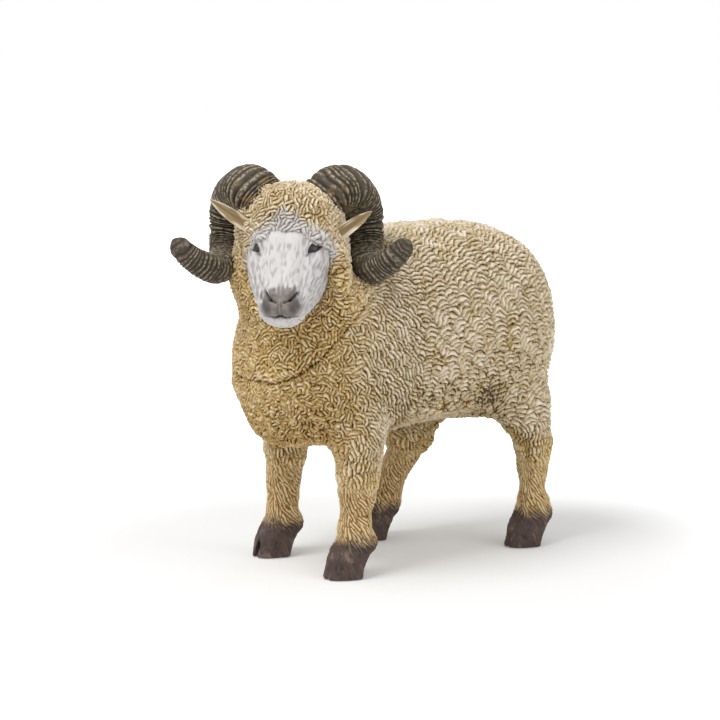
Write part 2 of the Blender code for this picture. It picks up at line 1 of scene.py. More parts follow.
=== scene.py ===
# %% [markdown]
# # A toy ram, sculpted and painted
#
# The toy is a solid figure in soft plastic, about as long as a finger. It is moulded in eleven
# pieces that are pushed together, and its surface is all sculpting: wool locks a few millimetres
# wide, hair, ribs on the horns. A spray and a dry brush then pick that relief out. The packed
# model holds the plain mouldings. Each step below takes one of them as clay, carves what the toy
# shows, and paints it.

# %% Load the plain mouldings
import math

import bmesh
import bpy
import numpy as np
from mathutils import Matrix, Vector, kdtree


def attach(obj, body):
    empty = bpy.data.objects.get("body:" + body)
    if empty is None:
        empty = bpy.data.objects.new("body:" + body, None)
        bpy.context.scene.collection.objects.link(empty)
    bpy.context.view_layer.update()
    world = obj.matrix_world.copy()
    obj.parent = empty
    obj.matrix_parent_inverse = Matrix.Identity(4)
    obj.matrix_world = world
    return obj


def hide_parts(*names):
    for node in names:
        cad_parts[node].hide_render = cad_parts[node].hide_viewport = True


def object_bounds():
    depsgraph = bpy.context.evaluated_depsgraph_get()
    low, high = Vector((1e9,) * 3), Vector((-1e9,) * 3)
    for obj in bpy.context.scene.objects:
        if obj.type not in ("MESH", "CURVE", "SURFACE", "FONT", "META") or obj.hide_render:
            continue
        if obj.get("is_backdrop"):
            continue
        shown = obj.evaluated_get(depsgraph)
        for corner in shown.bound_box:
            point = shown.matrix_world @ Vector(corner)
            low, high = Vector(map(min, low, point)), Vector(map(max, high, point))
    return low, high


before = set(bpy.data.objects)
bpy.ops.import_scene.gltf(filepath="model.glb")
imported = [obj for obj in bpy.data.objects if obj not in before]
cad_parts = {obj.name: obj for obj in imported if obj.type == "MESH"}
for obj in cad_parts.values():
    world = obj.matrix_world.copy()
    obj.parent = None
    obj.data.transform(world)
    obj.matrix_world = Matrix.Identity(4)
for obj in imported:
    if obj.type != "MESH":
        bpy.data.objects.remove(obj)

cad_low, cad_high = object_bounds()
print("mouldings:", ", ".join(sorted(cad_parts)))

# %% [markdown]
# ## Working in millimetres
#
# Blender's length is the metre, but a sculptor of small figures thinks in millimetres and so do
# the numbers in this lesson. Meshes are carved in millimetres and shrunk to metres when they are
# finished. Points travel as NumPy arrays, because one array sum moves nearly half a million points
# at once where a Python loop would crawl.

# %% Points in and out of a mesh
MM = 0.001


def points_of(mesh, kind="co"):
    """The mesh's points as rows of three numbers."""
    found = np.empty(len(mesh.vertices) * 3, np.float32)
    mesh.vertices.foreach_get(kind, found)
    return found.reshape(-1, 3).astype(float)


def normals_of(mesh):
    """The direction that the surface faces at each point."""
    return points_of(mesh, "normal")


def move_points(mesh, points):
    mesh.vertices.foreach_set("co", points.astype(np.float32).ravel())
    mesh.update()


def unit(rows):
    """The same directions, each with length one."""
    return rows / np.maximum(np.linalg.norm(rows, axis=-1, keepdims=True), 1e-9)


def ramp(values, start, end):
    """0 before start, 1 after end, and an even, soft climb between them."""
    t = np.clip((values - start) / (end - start), 0, 1)
    return t * t * (3 - 2 * t)


def hump(values, middle, width):
    """1 at the middle value, fading to 0 on both sides of it."""
    return np.exp(-(((values - middle) / width) ** 2))


# %% [markdown]
# ## Even randomness
#
# A sculptor's hand never repeats itself, so sizes, turns and heights need chance. Blender's own
# noise works one point at a time. This is the same idea for a whole array: a random number for
# each corner of a grid of blocks, blended smoothly inside each block. The numbers come from the
# blocks' places and a seed, so the ram is the same in every run.


# %% A cloud of soft random values
def block_number(blocks, seed):
    """A fixed random number from 0 to 1 for each block of space."""
    b = blocks.astype(np.int64)
    mixed = b[:, 0] * 73856093 ^ b[:, 1] * 19349663 ^ b[:, 2] * 83492791 ^ seed * 26544357
    mixed = (mixed ^ (mixed >> 13)) * 1274126177
    return ((mixed ^ (mixed >> 16)) & 0xFFFFFF) / 0xFFFFFF


def cloud(points, size, seed):
    """Smooth random values from 0 to 1, in patches of about this many millimetres."""
    place = points / size
    block = np.floor(place)
    t = place - block
    t = t * t * (3 - 2 * t)
    total = np.zeros(len(points))
    for corner in np.ndindex(2, 2, 2):
        share = np.prod(np.where(np.array(corner), t, 1 - t), axis=1)
        total += share * block_number(block + corner, seed)
    return total


# %% [markdown]
# ## Clay from the mouldings
#
# The plain mouldings have flat facets, sharp seams and sockets. A voxel remesh wraps one even skin
# round whatever shapes it is given, like clay pressed over a wire core, and it swallows sockets
# and narrow gaps. A few rounds of smoothing take out the facets, and Subdivision Surface then
# gives the fine, even grid that carving needs. The alternative, carving the mouldings' own long
# thin triangles, would tear.


# %% Wrap shapes in one smooth skin
def clay_of(*nodes):
    """The solid meshes of these nodes together, in millimetres."""
    clay = bmesh.new()
    for node in nodes:
        clay.from_mesh(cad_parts[node].data)
    clay.transform(Matrix.Scale(1 / MM, 4))
    bmesh.ops.remove_doubles(clay, verts=clay.verts, dist=0.002)
    clay.normal_update()
    return clay


def swell(clay, amount):
    """Moves every point outward, or inward if the amount is negative."""
    for point in clay.verts:
        point.co += point.normal * amount


def put_peg(clay, start, end, radius):
    """Adds a round peg to the clay, to fill a socket."""
    middle = (Vector(start) + Vector(end)) / 2
    reach = Vector(end) - Vector(start)
    turn = reach.to_track_quat("Z", "Y").to_matrix().to_4x4()
    bmesh.ops.create_cone(
        clay,
        cap_ends=True,
        segments=16,
        radius1=radius,
        radius2=radius,
        depth=reach.length,
        matrix=Matrix.Translation(middle) @ turn,
    )


def skinned(clay, block, rounds, levels):
    """One smooth mesh round the clay: block is the size of its first, rough squares."""
    rough = bpy.data.meshes.new("clay")
    clay.to_mesh(rough)
    clay.free()
    holder = bpy.data.objects.new("clay", rough)
    bpy.context.scene.collection.objects.link(holder)
    wrap = holder.modifiers.new("wrap", "REMESH")
    wrap.mode = "VOXEL"
    wrap.voxel_size = block
    even = holder.modifiers.new("even", "SMOOTH")
    even.factor = 0.5
    even.iterations = rounds
    finer = holder.modifiers.new("finer", "SUBSURF")
    finer.levels = levels
    finer.render_levels = levels
    graph = bpy.context.evaluated_depsgraph_get()
    skin = bpy.data.meshes.new_from_object(holder.evaluated_get(graph))
    bpy.data.objects.remove(holder)
    bpy.data.meshes.remove(rough)
    print(f"skin of {len(skin.polygons)} squares, {block / 2**levels:.2f} mm wide")
    return skin


# %% [markdown]
# ## Wool as a patchwork of locks
#
# On a real fleece the fibres clump into locks, and each lock is crimped into parallel waves. The
# sculptor of this toy carved just that: patches 1.5 to 3 mm wide, each a little stack of curved
# ridges that has its own slant. So the surface is divided into patches round scattered seeds, as
# cells form round their centres. Inside a patch the ridges follow its own bent stripes, and a
# groove marks its edge.
#
# Geometry nodes or a displacement texture could draw stripes as well. Doing it on arrays keeps
# each lock's slant, bend and height in reach, and gives the paint the same relief to work from.


# %% Scatter seeds evenly
def nearest(seeds, points, count):
    """For each point, the numbers of its nearest seeds, the closest first."""
    tree = kdtree.KDTree(len(seeds))
    for i, seed in enumerate(seeds):
        tree.insert(seed, i)
    tree.balance()
    if count == 1:
        return np.array([tree.find(point)[1] for point in points])
    return np.array([[hit[1] for hit in tree.find_n(point, count)] for point in points])


def scattered(points, spacing, seed):
    """Places on the surface about this far apart: one from each block of space, then evened out."""
    order = np.random.default_rng(seed).permutation(len(points))
    blocks = np.floor(points[order] / spacing + seed * 0.37).astype(int)
    _, first = np.unique(blocks, axis=0, return_index=True)
    seeds = points[order[first]]
    sample = points[order[: 12 * len(seeds)]]
    for _ in range(2):
        home = nearest(seeds, sample, 1)
        sums = np.zeros_like(seeds)
        np.add.at(sums, home, sample)
        count = np.bincount(home, minlength=len(seeds))
        kept = count > 0
        seeds = sums[kept] / count[kept, None]
    return seeds


# %% Directions along the surface
def along_surface(pull, normals):
    """The pull's direction with what points into or out of the surface taken away."""
    flat = pull - normals * np.sum(pull * normals, axis=1, keepdims=True)
    return unit(flat)


def turned(across, down, angle):
    """The two surface directions turned by an angle in radians, one for each row."""
    c = np.cos(angle)[:, None]
    s = np.sin(angle)[:, None]
    return across * c + down * s, down * c - across * s


# %% [markdown]
# A patch is described by a few plain numbers: its size, how long it is for its width, the pitch of
# its ridges, how much they bow, how they are turned, and how much chance is in that turn. A rule
# gives these numbers for any place on the ram, which is how flank, chest, crown and leg get
# different wool from the same few lines.
#
# The ridge's profile leans. It climbs slowly and drops fast at its lower side, as overlapping
# locks do, so light from above leaves a thin dark line under each one.


# %% Carve locks
CREST = 0.64
NEIGHBOURS = 5
EDGE_WIDTH = 0.13
EDGE_WOBBLE = 0.16
STRAND_MM = 0.45


def ridge_profile(phase):
    """Height from 0 to 1 across one ridge: a slow climb, a round crest and a quick drop."""
    t = phase - np.floor(phase)
    climb = np.sin(np.clip(t / CREST, 0, 1) * np.pi / 2)
    drop = np.cos(np.clip((t - CREST) / (1 - CREST), 0, 1) * np.pi / 2) ** 0.8
    return np.where(t < CREST, climb, drop)


def locks(points, normals, rule, sizes, seed):
    """Relief from 0 to 1, the way that locks lean, and a random shade for each lock."""
    # Seeds are scattered at each spacing, and each is kept where the rule wants that spacing most.
    groups = []
    for k, size in enumerate(sizes):
        places = scattered(points, size, seed + k)
        wanted = rule(places)["size"]
        best = np.argmin(np.abs(np.array(sizes)[:, None] - wanted), axis=0)
        groups.append(places[best == k])
    seeds = np.concatenate(groups)
    facing = normals[nearest(points[::3], seeds, 1) * 3]

    # Each seed gets its own directions along the surface and its own share of chance.
    kind = rule(seeds)
    chance = np.random.default_rng(seed + 50)
    down = along_surface(kind["pull"], facing)
    across = np.cross(down, facing)
    wild = kind["wild"] * chance.uniform(-1, 1, len(seeds))
    across, down = turned(across, down, kind["turn"] + wild)
    shift = chance.uniform(0, 1, len(seeds))
    strength = chance.uniform(0.80, 1.0, len(seeds))
    shade = chance.uniform(-1, 1, len(seeds))
    bow = kind["bow"] * chance.uniform(0.5, 1.4, len(seeds))

    # A point belongs to the seed that it reaches first, and near a second one it is on the edge.
    near = nearest(seeds, points, NEIGHBOURS)
    wobble = np.stack([cloud(points, 1.7, seed + 60 + k) - 0.5 for k in range(3)], axis=1)
    place = points + wobble * kind["size"].mean() * EDGE_WOBBLE
    offset = place[:, None, :] - seeds[near]
    side = np.sum(offset * across[near], axis=2)
    along = np.sum(offset * down[near], axis=2)
    above = np.sum(offset * facing[near], axis=2)
    size = kind["size"][near]
    long = kind["long"][near]
    reach = np.sqrt((side / size) ** 2 + (along / size / long) ** 2 + (above / size) ** 2 * 0.5)
    rank = np.argsort(reach, axis=1)
    row = np.arange(len(points))
    own = rank[:, 0]
    mine = near[row, own]
    edge = ramp(reach[row, rank[:, 1]] - reach[row, own], 0.0, EDGE_WIDTH)

    # Ridges cross the lock on its own bent stripes, and are a little uneven.
    side = side[row, own]
    along = along[row, own]
    bent = along - bow[mine] * side**2 / kind["size"][mine]
    unsteady = 0.75 * (cloud(points, 1.2, seed + 71) - 0.5)
    stripe = ridge_profile(bent / kind["pitch"][mine] + shift[mine] + unsteady)
    uneven = 0.76 + 0.24 * cloud(points, 1.2, seed + 70)
    strand = 0.22 * (cloud(points, STRAND_MM, seed + 72) - 0.5)
    relief = stripe * strength[mine] * uneven * (0.58 + 0.42 * edge)
    relief = np.clip(relief + strand * (0.4 + 0.6 * stripe), 0, 1)
    return relief, down[mine], shade[mine]


# %% [markdown]
# ## Where each kind of wool grows
#
# In the photograph the flank and rump carry stacks of wide arches, open below. Over the shoulder
# the ridges run down and back, and they are finer. The chest is a tangle of short squiggles, and
# so is the crown of the head. On the upper legs the locks hang down. All of it hangs with gravity
# and lies slightly backward, and that is the pull that the patches are lined up with.

# %% Rules for the fleece
BODY_MIDDLE = -2.95
CHEST_END = -15.0
SHOULDER_END = 0.0
SLEEVE_TOP = 28.0
HEAD_CENTRE = np.array([3.05, -23.57, 66.3])
SHOULDER_TURN = np.radians(72)
SLEEVE_TURN = np.radians(98)


def fleece_rule(places):
    """The numbers that describe the wool on the body at each place."""
    x, y, z = places.T
    drift = 5 * (cloud(places, 9.0, 7) - 0.5)
    chest = 1 - ramp(y + drift, CHEST_END - 3, CHEST_END + 5)
    flank = ramp(y + drift + 0.15 * (z - 45), SHOULDER_END - 6, SHOULDER_END + 6)
    sleeve = 1 - ramp(z, SLEEVE_TOP - 6, SLEEVE_TOP + 2)
    sleeve = sleeve * ramp(np.abs(x - BODY_MIDDLE), 5.0, 8.0)
    side = np.where(x > BODY_MIDDLE, -1, 1)
    size = 1.9 - 0.25 * chest + 1.2 * flank
    turn = SHOULDER_TURN * (1 - flank) * side
    return {
        "size": size * (1 - sleeve) + 2.3 * sleeve,
        "long": 1.2 + 0.4 * flank,
        "pitch": 0.78 - 0.06 * chest + 0.24 * flank * (1 - sleeve),
        "bow": 0.35 + 0.65 * flank,
        "turn": turn * (1 - sleeve) + SLEEVE_TURN * sleeve * side,
        "wild": np.radians(26) + np.radians(64) * chest * (1 - sleeve),
        "pull": np.tile([0, 0.32, -1], (len(places), 1)),
    }


def crown_rule(places):
    """The numbers that describe the wool on the head and neck. Those that are the same all over
    are plain numbers."""
    offset = places - HEAD_CENTRE
    crown = 1 - ramp(np.linalg.norm(offset, axis=1), 11.0, 15.0)
    return {
        "size": 1.65 - 0.15 * crown,
        "long": 1.15,
        "pitch": 0.72 - 0.02 * crown,
        "bow": 0.30,
        "turn": np.radians(60),
        "wild": np.radians(85) - np.radians(25) * crown,
        "pull": np.column_stack([0.2 * offset[:, :2], np.full(len(places), -1.0)]),
    }


sample = fleece_rule(np.array([[10.0, -25, 45], [14.0, -8, 45], [14.0, 20, 45]]))
print("ridge pitch on chest, shoulder and flank:", sample["pitch"].round(2), "mm")

# %% [markdown]
# ## The horns' and the head's places
#
# The head looks to the ram's left, almost into the camera, and its nose is dipped. Both horns grow
# from the skull along one path, which is written as shares of the curl's radius, as in the plain
# model. The rest of the head is measured from the same point between the ears.

# %% The head's frames and the horns' paths
HEAD_TURN = math.radians(49.5)
FACE_TURN = math.radians(45.2)
FACE_ASIDE = -0.05
HEAD_DIP = math.radians(48)
HORN_CURL = 10.0
HORN_WIDTH = 9.4
HORN_SHARES = [
    (0.50, -0.18, 0.66, 0.92),
    (0.77, -0.36, 0.86, 0.97),
    (1.05, -0.70, 0.87, 0.97),
    (1.24, -1.02, 0.57, 0.91),
    (1.32, -1.12, 0.08, 0.82),
    (1.35, -0.92, -0.35, 0.73),
    (1.39, -0.50, -0.56, 0.65),
    (1.57, -0.10, -0.56, 0.58),
    (1.90, 0.14, -0.36, 0.50),
    (2.19, 0.22, -0.08, 0.40),
    (2.27, 0.22, 0.00, 0.22),
]

level = Matrix.Translation(HEAD_CENTRE) @ Matrix.Rotation(HEAD_TURN, 4, "Z")
head_frame = level @ Matrix.Rotation(HEAD_DIP, 4, "X")
face_frame = (
    Matrix.Translation(HEAD_CENTRE)
    @ Matrix.Rotation(FACE_TURN, 4, "Z")
    @ Matrix.Translation((FACE_ASIDE, 0, 0))
    @ Matrix.Rotation(HEAD_DIP, 4, "X")
)


def in_frame(matrix, points):
    """These points as the matrix's own axes see them."""
    inverse = np.array(matrix.inverted())
    return points @ inverse[:3, :3].T + inverse[:3, 3]


def out_of_frame(matrix, points):
    """Points given along the matrix's axes, back in the ram's frame."""
    m = np.array(matrix)
    return points @ m[:3, :3].T + m[:3, 3]


def smooth_rows(rows, count):
    """A Catmull-Rom curve through the rows of a table, read at this many even steps."""
    rows = np.array(rows, float)
    place = np.linspace(0, len(rows) - 1, count)
    i = np.minimum(place.astype(int), len(rows) - 2)
    t = (place - i)[:, None]
    a, b = rows[np.maximum(i - 1, 0)], rows[i]
    c, d = rows[i + 1], rows[np.minimum(i + 2, len(rows) - 1)]
    bend = (2 * a - 5 * b + 4 * c - d) * t**2 + (3 * b - a - 3 * c + d) * t**3
    return 0.5 * (2 * b + (c - a) * t + bend)


def horn_path(side, count):
    """Centres and half widths at equal distances along one horn."""
    rows = smooth_rows(HORN_SHARES, 400)
    local = rows[:, :3] * HORN_CURL * np.array([side, -1, 1])
    centres = out_of_frame(level, local)
    gone = np.concatenate([[0], np.cumsum(np.linalg.norm(np.diff(centres, axis=0), axis=1))])
    even = np.linspace(0, gone[-1], count)
    columns = [np.interp(even, gone, centres[:, k]) for k in range(3)]
    return np.stack(columns, axis=1), np.interp(even, gone, rows[:, 3] * HORN_WIDTH / 2)


print("horn tip at", horn_path(1, 10)[0][-1].round(1), "mm")

# %% [markdown]
# ## The body's skin
#
# The body, the head with its neck, and the tail are one lump of clay here, so that wool runs over
# the joints without a break. Pegs fill the big sockets of the legs and horns, and the remesh closes
# the ears' small ones by itself. The tail is drawn in a little and only fills its own slot, because
# it gets a skin of its own later. The legs are in the lump too, a little thicker than they are, so
# that the wool can thin out down them.
#
# The muzzle is pushed back into the skull before the skin goes on, since a finer face goes in front
# of it.

# %% One lump of clay for body and head
SOCKET_FILL = 0.2
TAIL_SWELL = -0.5
LEG_SWELL = 0.55
LEG_PEG_DEPTH = 5.6
LEG_PEG_RISE = 1.0
LEG_PEG_RADIUS = 3.2
HORN_PEG_INSET = 0.9
FACE_WIDTH = 17.2
FACE_DEPTH = 13.8
FACE_LENGTH = 19.3
MUZZLE_START = 4.6
MUZZLE_SPREAD = 1.15


def add_core(clay, node, amount):
    """Adds another moulding to the clay, swollen by this amount."""
    core = clay_of(node)
    swell(core, amount)
    mesh = bpy.data.meshes.new("core")
    core.to_mesh(mesh)
    core.free()
    clay.from_mesh(mesh)
    bpy.data.meshes.remove(mesh)


clay = clay_of("torso", "head_and_neck")
swell(clay, SOCKET_FILL)
for point in clay.verts:
    local = head_frame.inverted() @ point.co
    spread = 2 * math.hypot(local.x / FACE_WIDTH, local.z / FACE_DEPTH)
    if -local.y > MUZZLE_START and spread < MUZZLE_SPREAD:
        local.y = -MUZZLE_START
        point.co = head_frame @ local
add_core(clay, "tail", TAIL_SWELL)

leg_nodes = [node for node in sorted(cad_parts) if node.startswith("leg")]
leg_tops = []
for node in leg_nodes:
    leg_points = points_of(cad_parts[node].data) / MM
    top = leg_points[leg_points[:, 2] > leg_points[:, 2].max() - 0.1].mean(axis=0)
    put_peg(clay, top - [0, 0, LEG_PEG_DEPTH], top + [0, 0, LEG_PEG_RISE], LEG_PEG_RADIUS)
    leg_tops.append(top)
    add_core(clay, node, LEG_SWELL)

for side in (1, -1):
    centres, halves = horn_path(side, 12)
    inward = centres[0] - centres[1]
    put_peg(clay, centres[0] + inward, centres[1], halves[0] - HORN_PEG_INSET)

body_skin = skinned(clay, block=1.6, rounds=4, levels=3)

# %% [markdown]
# The plain head is a little wide on its left, where the wool has to make way for the horn, and a
# little narrow on its right. The wool also has to narrow down to each leg. Smooth pushes on the
# bare skin do both.

# %% Adjust the skin
SEAM_POINT = np.array([BODY_MIDDLE, -17.17, 49.5])
SEAM_TILT = math.radians(46)
SEAM_NORMAL = np.array([0, -math.sin(SEAM_TILT), math.cos(SEAM_TILT)])
LEFT_CHEEK, RIGHT_CHEEK = 8.8, 8.0
SLEEVE_EDGE = 20.5
SLEEVE_HALF_WIDTH, SLEEVE_HALF_LENGTH = 4.2, 4.6
SLEEVE_FLARE = 0.075


def before_seam(places):
    """How far places lie on the head's side of the join."""
    return (places - SEAM_POINT) @ SEAM_NORMAL


points = points_of(body_skin)
local = in_frame(level, points)
aside, above = local[:, 0], local[:, 2]
head_side = ramp(before_seam(points), 0.5, 5.0)
cheeks = head_side * ramp(above, -17, -9) * (1 - ramp(above, 5, 11))
local[:, 0] -= cheeks * 0.60 * np.maximum(aside - LEFT_CHEEK, 0)
local[:, 0] -= cheeks * 0.35 * np.maximum(-aside - RIGHT_CHEEK, 0)
points = out_of_frame(level, local)

for middle in leg_tops:
    offset = points[:, :2] - middle[:2]
    rise = points[:, 2] - SLEEVE_EDGE
    reach = np.hypot(offset[:, 0] / SLEEVE_HALF_WIDTH, offset[:, 1] / SLEEVE_HALF_LENGTH)
    wanted = 1.0 + SLEEVE_FLARE * np.maximum(rise, 0)
    near = (reach < 1.75) * (1 - ramp(rise, 2.0, 6.5)) * ramp(rise, -5.0, -1.0)
    pull = np.clip(1 - wanted / np.maximum(reach, 0.1), 0, 1) * near
    points[:, :2] -= offset * pull[:, None]
    print("a sleeve drawn in by up to", np.abs(offset * pull[:, None]).max().round(1), "mm")
move_points(body_skin, points)

# %% [markdown]
# ## Carve the fleece
#
# The face is swept from a table of sections later on. Its outline is needed now, to tell the wool
# where to stop: each row gives a place along the face, its half width, and its reach above and
# below the middle, all as shares of the face's length, width and depth.
#
# The hairline is where wool ends and the smooth face begins. It is highest on the brow and comes
# forward along the jaw. Clay that would show in front of it sinks under the face, and the wool
# grows right up to the face's edge.
#
# Larger forms are made in the same pass. Wool hangs over the brow, the chest has loose folds, and
# a fold of skin runs in front of each thigh, with a hollow above it. The belly hangs lower between
# the hind legs, and their hocks stand out behind. The left hind leg is slimmer in front than its
# plain moulding. Down each leg the wool sinks until it lies just under the hair, so there is no
# step between them, and a shallow line is left where body and head are joined.

# %% The face's outline
FACE_SHARES = [
    (0.04, 0.86, 0.92, 1.00),
    (0.26, 0.91, 0.95, 1.08),
    (0.45, 0.86, 0.83, 1.08),
    (0.62, 0.74, 0.72, 0.96),
    (0.76, 0.61, 0.66, 0.70),
    (0.86, 0.53, 0.60, 0.56),
    (0.945, 0.48, 0.54, 0.48),
    (0.99, 0.36, 0.40, 0.34),
    (1.012, 0.14, 0.16, 0.18),
]
BOXY_ABOVE = 0.92
BOXY_BELOW = 0.72


def outside_face(local):
    """How far places in the face's own axes lie outside it. Inside it the number is negative."""
    gone, half, high, low = smooth_rows(FACE_SHARES, 200).T
    here = -local[:, 1] / FACE_LENGTH
    wide = np.interp(here, gone, half) * FACE_WIDTH / 2
    tall = np.where(local[:, 2] > 0, np.interp(here, gone, high), np.interp(here, gone, low))
    tall = tall * FACE_DEPTH / 2
    power = 2 / np.where(local[:, 2] > 0, BOXY_ABOVE, BOXY_BELOW)
    reach = np.abs(local[:, 0] / wide) ** power + np.abs(local[:, 2] / tall) ** power
    return (reach ** (1 / power) - 1) * np.minimum(wide, tall)


# %% Wool locks on body and head
WOOL_SIZES = (1.5, 1.9, 2.5, 3.1)

points = points_of(body_skin)
normals = normals_of(body_skin)
from_seam = before_seam(points)


def fleece_and_crown_rule(places):
    """Body wool behind the seam and head wool in front of it, with a soft change between."""
    share = ramp(before_seam(places), -4, 4)
    body, head = fleece_rule(places), crown_rule(places)
    mixed = {}
    for name in body:
        part = share[:, None] if name == "pull" else share
        mixed[name] = body[name] * (1 - part) + head[name] * part
    return mixed


relief, lean, shade = locks(points, normals, fleece_and_crown_rule, WOOL_SIZES, 11)
print("locks on", len(points), "points, mean height", relief.mean().round(2))

# %% Hairline, brow and cheek
local = in_frame(face_frame, points)
aside, ahead, above = local[:, 0], -local[:, 1], local[:, 2]
outside = outside_face(local)
hairline = 2.2 + 2.1 * ramp(np.abs(aside), 1.0, 4.2) + 4.5 * ramp(-above, 1.0, 7.0)
hairline += 2.2 * ramp(-aside, 4.0, 7.0) * (1 - ramp(above, 2.0, 5.0))
toward_face = ahead + 1.2 * (cloud(points, 1.5, 3) - 0.5) - hairline
bare = ramp(toward_face, -0.6, 0.5) * (1 - ramp(outside, -0.35, 0.25))
by_face = (1 - ramp(outside, 0.5, 2.5)) * ramp(toward_face, -3.0, -0.5)
brow = hump(toward_face, -0.7, 1.0) * ramp(np.abs(aside), 1.6, 4.0)
brow *= ramp(above, -1.0, 1.0)
cheek = hump(outside, 0.9, 1.3) * ramp(aside, 3.0, 6.0) * ramp(ahead, 0.0, 3.0)
cheek *= (1 - ramp(ahead, 9.0, 13.0)) * (1 - ramp(above, -0.5, 2.5))
print("skin left bare behind the face:", int((bare > 0.5).sum()), "points")

# %% Flank, thighs, hocks and groin
FLANK_HOLLOW = np.array([11.5, 19.3, 33.0])
FOLD_START = np.array([9.5, 11.0, 31.0])
FOLD_END = np.array([10.0, 20.0, 30.8])
HIND_FROM = 8
HIND_BELOW = 28
LEFT_HOCK, RIGHT_HOCK = 21.3, 18.8


def slimming(places, facing):
    """How far the front of the hind left leg is drawn in at each place."""
    x, y, z = places.T
    there = (y > HIND_FROM) & (x > BODY_MIDDLE) & (z < HIND_BELOW)
    return 1.6 * hump(z, 18.5, 6.5) * ramp(-facing[:, 1], 0.1, 0.8) * there


mirrored = points.copy()
mirrored[:, 0] = np.abs(points[:, 0] - BODY_MIDDLE) + BODY_MIDDLE
hollow = hump(np.linalg.norm(mirrored - FLANK_HOLLOW, axis=1), 0, 3.1)
fold_reach = FOLD_END - FOLD_START
share = np.clip((mirrored - FOLD_START) @ fold_reach / fold_reach.dot(fold_reach), 0, 1)
from_fold = np.linalg.norm(mirrored - FOLD_START - share[:, None] * fold_reach, axis=1)
fold = hump(from_fold, 0, 1.9)

hind = (points[:, 1] > HIND_FROM) * (points[:, 2] < HIND_BELOW)
striding = points[:, 0] < BODY_MIDDLE
behind = ramp(normals[:, 1], 0.1, 0.8) * hind * np.where(striding, 1.0, 0.45)
above_hock = points[:, 2] - np.where(striding, RIGHT_HOCK, LEFT_HOCK)
before = ramp(-normals[:, 1], 0.1, 0.8) * hind * striding
groin = hump(points[:, 1], 23, 5) * ramp(-normals[:, 2], 0.2, 0.8) * (points[:, 2] > 20)
print("hock points:", int((hump(above_hock, 0, 2.1) * behind > 0.5).sum()))

# %% Carve body and head
WOOL_RISE = 0.45
SOCK_END = 14.0


def folded(values):
    """Ridges where soft values pass their middle."""
    return 1 - np.abs(2 * values - 1)


# Locks, with soft lumps under them and loose folds on the chest.
depth = (0.94 + 0.08 * ramp(points[:, 1], -14, 4)) * (1 - 0.35 * by_face)
lumps = 0.5 * (cloud(points, 6.0, 21) - 0.5) + 0.25 * (cloud(points, 3.0, 22) - 0.5)
folds = (folded(cloud(points * [0.6, 1, 1], 8.0, 24)) - 0.6) * (1 - ramp(points[:, 1], -20, -8))
height = WOOL_RISE - SOCKET_FILL + depth * (relief - 0.50) + 0.8 * lumps + 1.1 * folds

# The flank's fold and hollow, the brow and the cheek. Then the clay sinks behind the face.
height += 1.2 * fold - 1.0 * hollow - 0.25 * by_face + 0.8 * brow + 0.75 * cheek
height = height * (1 - bare) - np.clip(outside + 0.45, 0.2, 1.8) * bare
seam_line = hump(from_seam, 0, 0.22) * (0.4 + 0.6 * cloud(points, 4.0, 23))
height -= 0.40 * seam_line

# Hocks with a dip above them, the right thigh's full front, the left leg's slim one, and the groin.
height += 1.0 * hump(above_hock, 0, 2.1) * behind
height -= 0.5 * hump(above_hock, 3.5, 1.5) * behind
height += 1.9 * hump(points[:, 2], 22.0, 3.2) * before
height -= slimming(points, normals)
height += 1.0 * groin

# Down each leg the wool sinks under the hair, along a ragged edge.
ragged = points[:, 2] + 2.5 * (cloud(points, 2.2, 25) - 0.5)
down_leg = 1 - ramp(ragged, SOCK_END + 0.5, SLEEVE_EDGE + 1.5)
height -= down_leg * (0.9 + 0.3 * depth * relief)
carved = points + normals * height[:, None] + lean * (0.22 * relief * (1 - bare))[:, None]
print("wool relief from", height.min().round(2), "to", height.max().round(2), "mm")

# %% [markdown]
# ## Cut the lump into its mouldings
#
# The body and the head are separate mouldings, so the carved skin is cut where they meet, and each
# half is closed at the cut. Carving first and cutting second is also how the toy's maker works: a
# figure is sculpted whole and then sawn into what the moulds can hold. The body's part also ends
# on the legs, where its wool has sunk into them. Each cut leaves a ring of edges, and a fan of
# triangles closes it.
#
# Some numbers are kept with each point for the paint: how high it stands in its lock, the random
# shade of that lock, and how much ochre or white it gets. Wool that faces down, lies in the flank's
# hollow or sits at the groin gets painted shade: its relief is lowered, so it takes darker colours.


# %% Take part of a mesh
def part_of(mesh, keep, name, **values):
    """A new closed mesh of the faces that keep most of their points, with values on the points."""
    corners = np.empty(len(mesh.loops), np.int32)
    mesh.loops.foreach_get("vertex_index", corners)
    squares = corners.reshape(-1, 4)
    squares = squares[keep[squares].mean(axis=1) > 0.5]
    used, renumbered = np.unique(squares, return_inverse=True)
    squares = renumbered.reshape(-1, 4)
    points = points_of(mesh)[used]
    ends = np.concatenate([squares[:, [k, (k + 1) % 4]] for k in range(4)])
    key = ends[:, 0].astype(np.int64) * len(points) + ends[:, 1]
    back = ends[:, 1].astype(np.int64) * len(points) + ends[:, 0]
    rim = ends[~np.isin(key, back)]
    made = bpy.data.meshes.new(name)
    groups = [squares]
    values = {key: value[used] for key, value in values.items()}
    for loop in loops_of(rim):
        points = np.vstack([points, points[loop].mean(axis=0)])
        last = np.full(len(loop), len(points) - 1)
        groups.append(np.column_stack([np.roll(loop, -1), loop, last]))
        values = {key: np.append(value, 0) for key, value in values.items()}
    fill_mesh(made, points, groups)
    store(made, **values)
    return made


def loops_of(edges):
    """Closed rings of points, followed from edge to edge."""
    after = {}
    for start, end in edges.tolist():
        after.setdefault(start, []).append(end)
    loops = []
    while after:
        first = next(iter(after))
        loop, now = [], first
        while now in after:
            loop.append(now)
            ahead = after[now].pop()
            if not after[now]:
                del after[now]
            now = ahead
        loops.append(np.array(loop))
    return loops


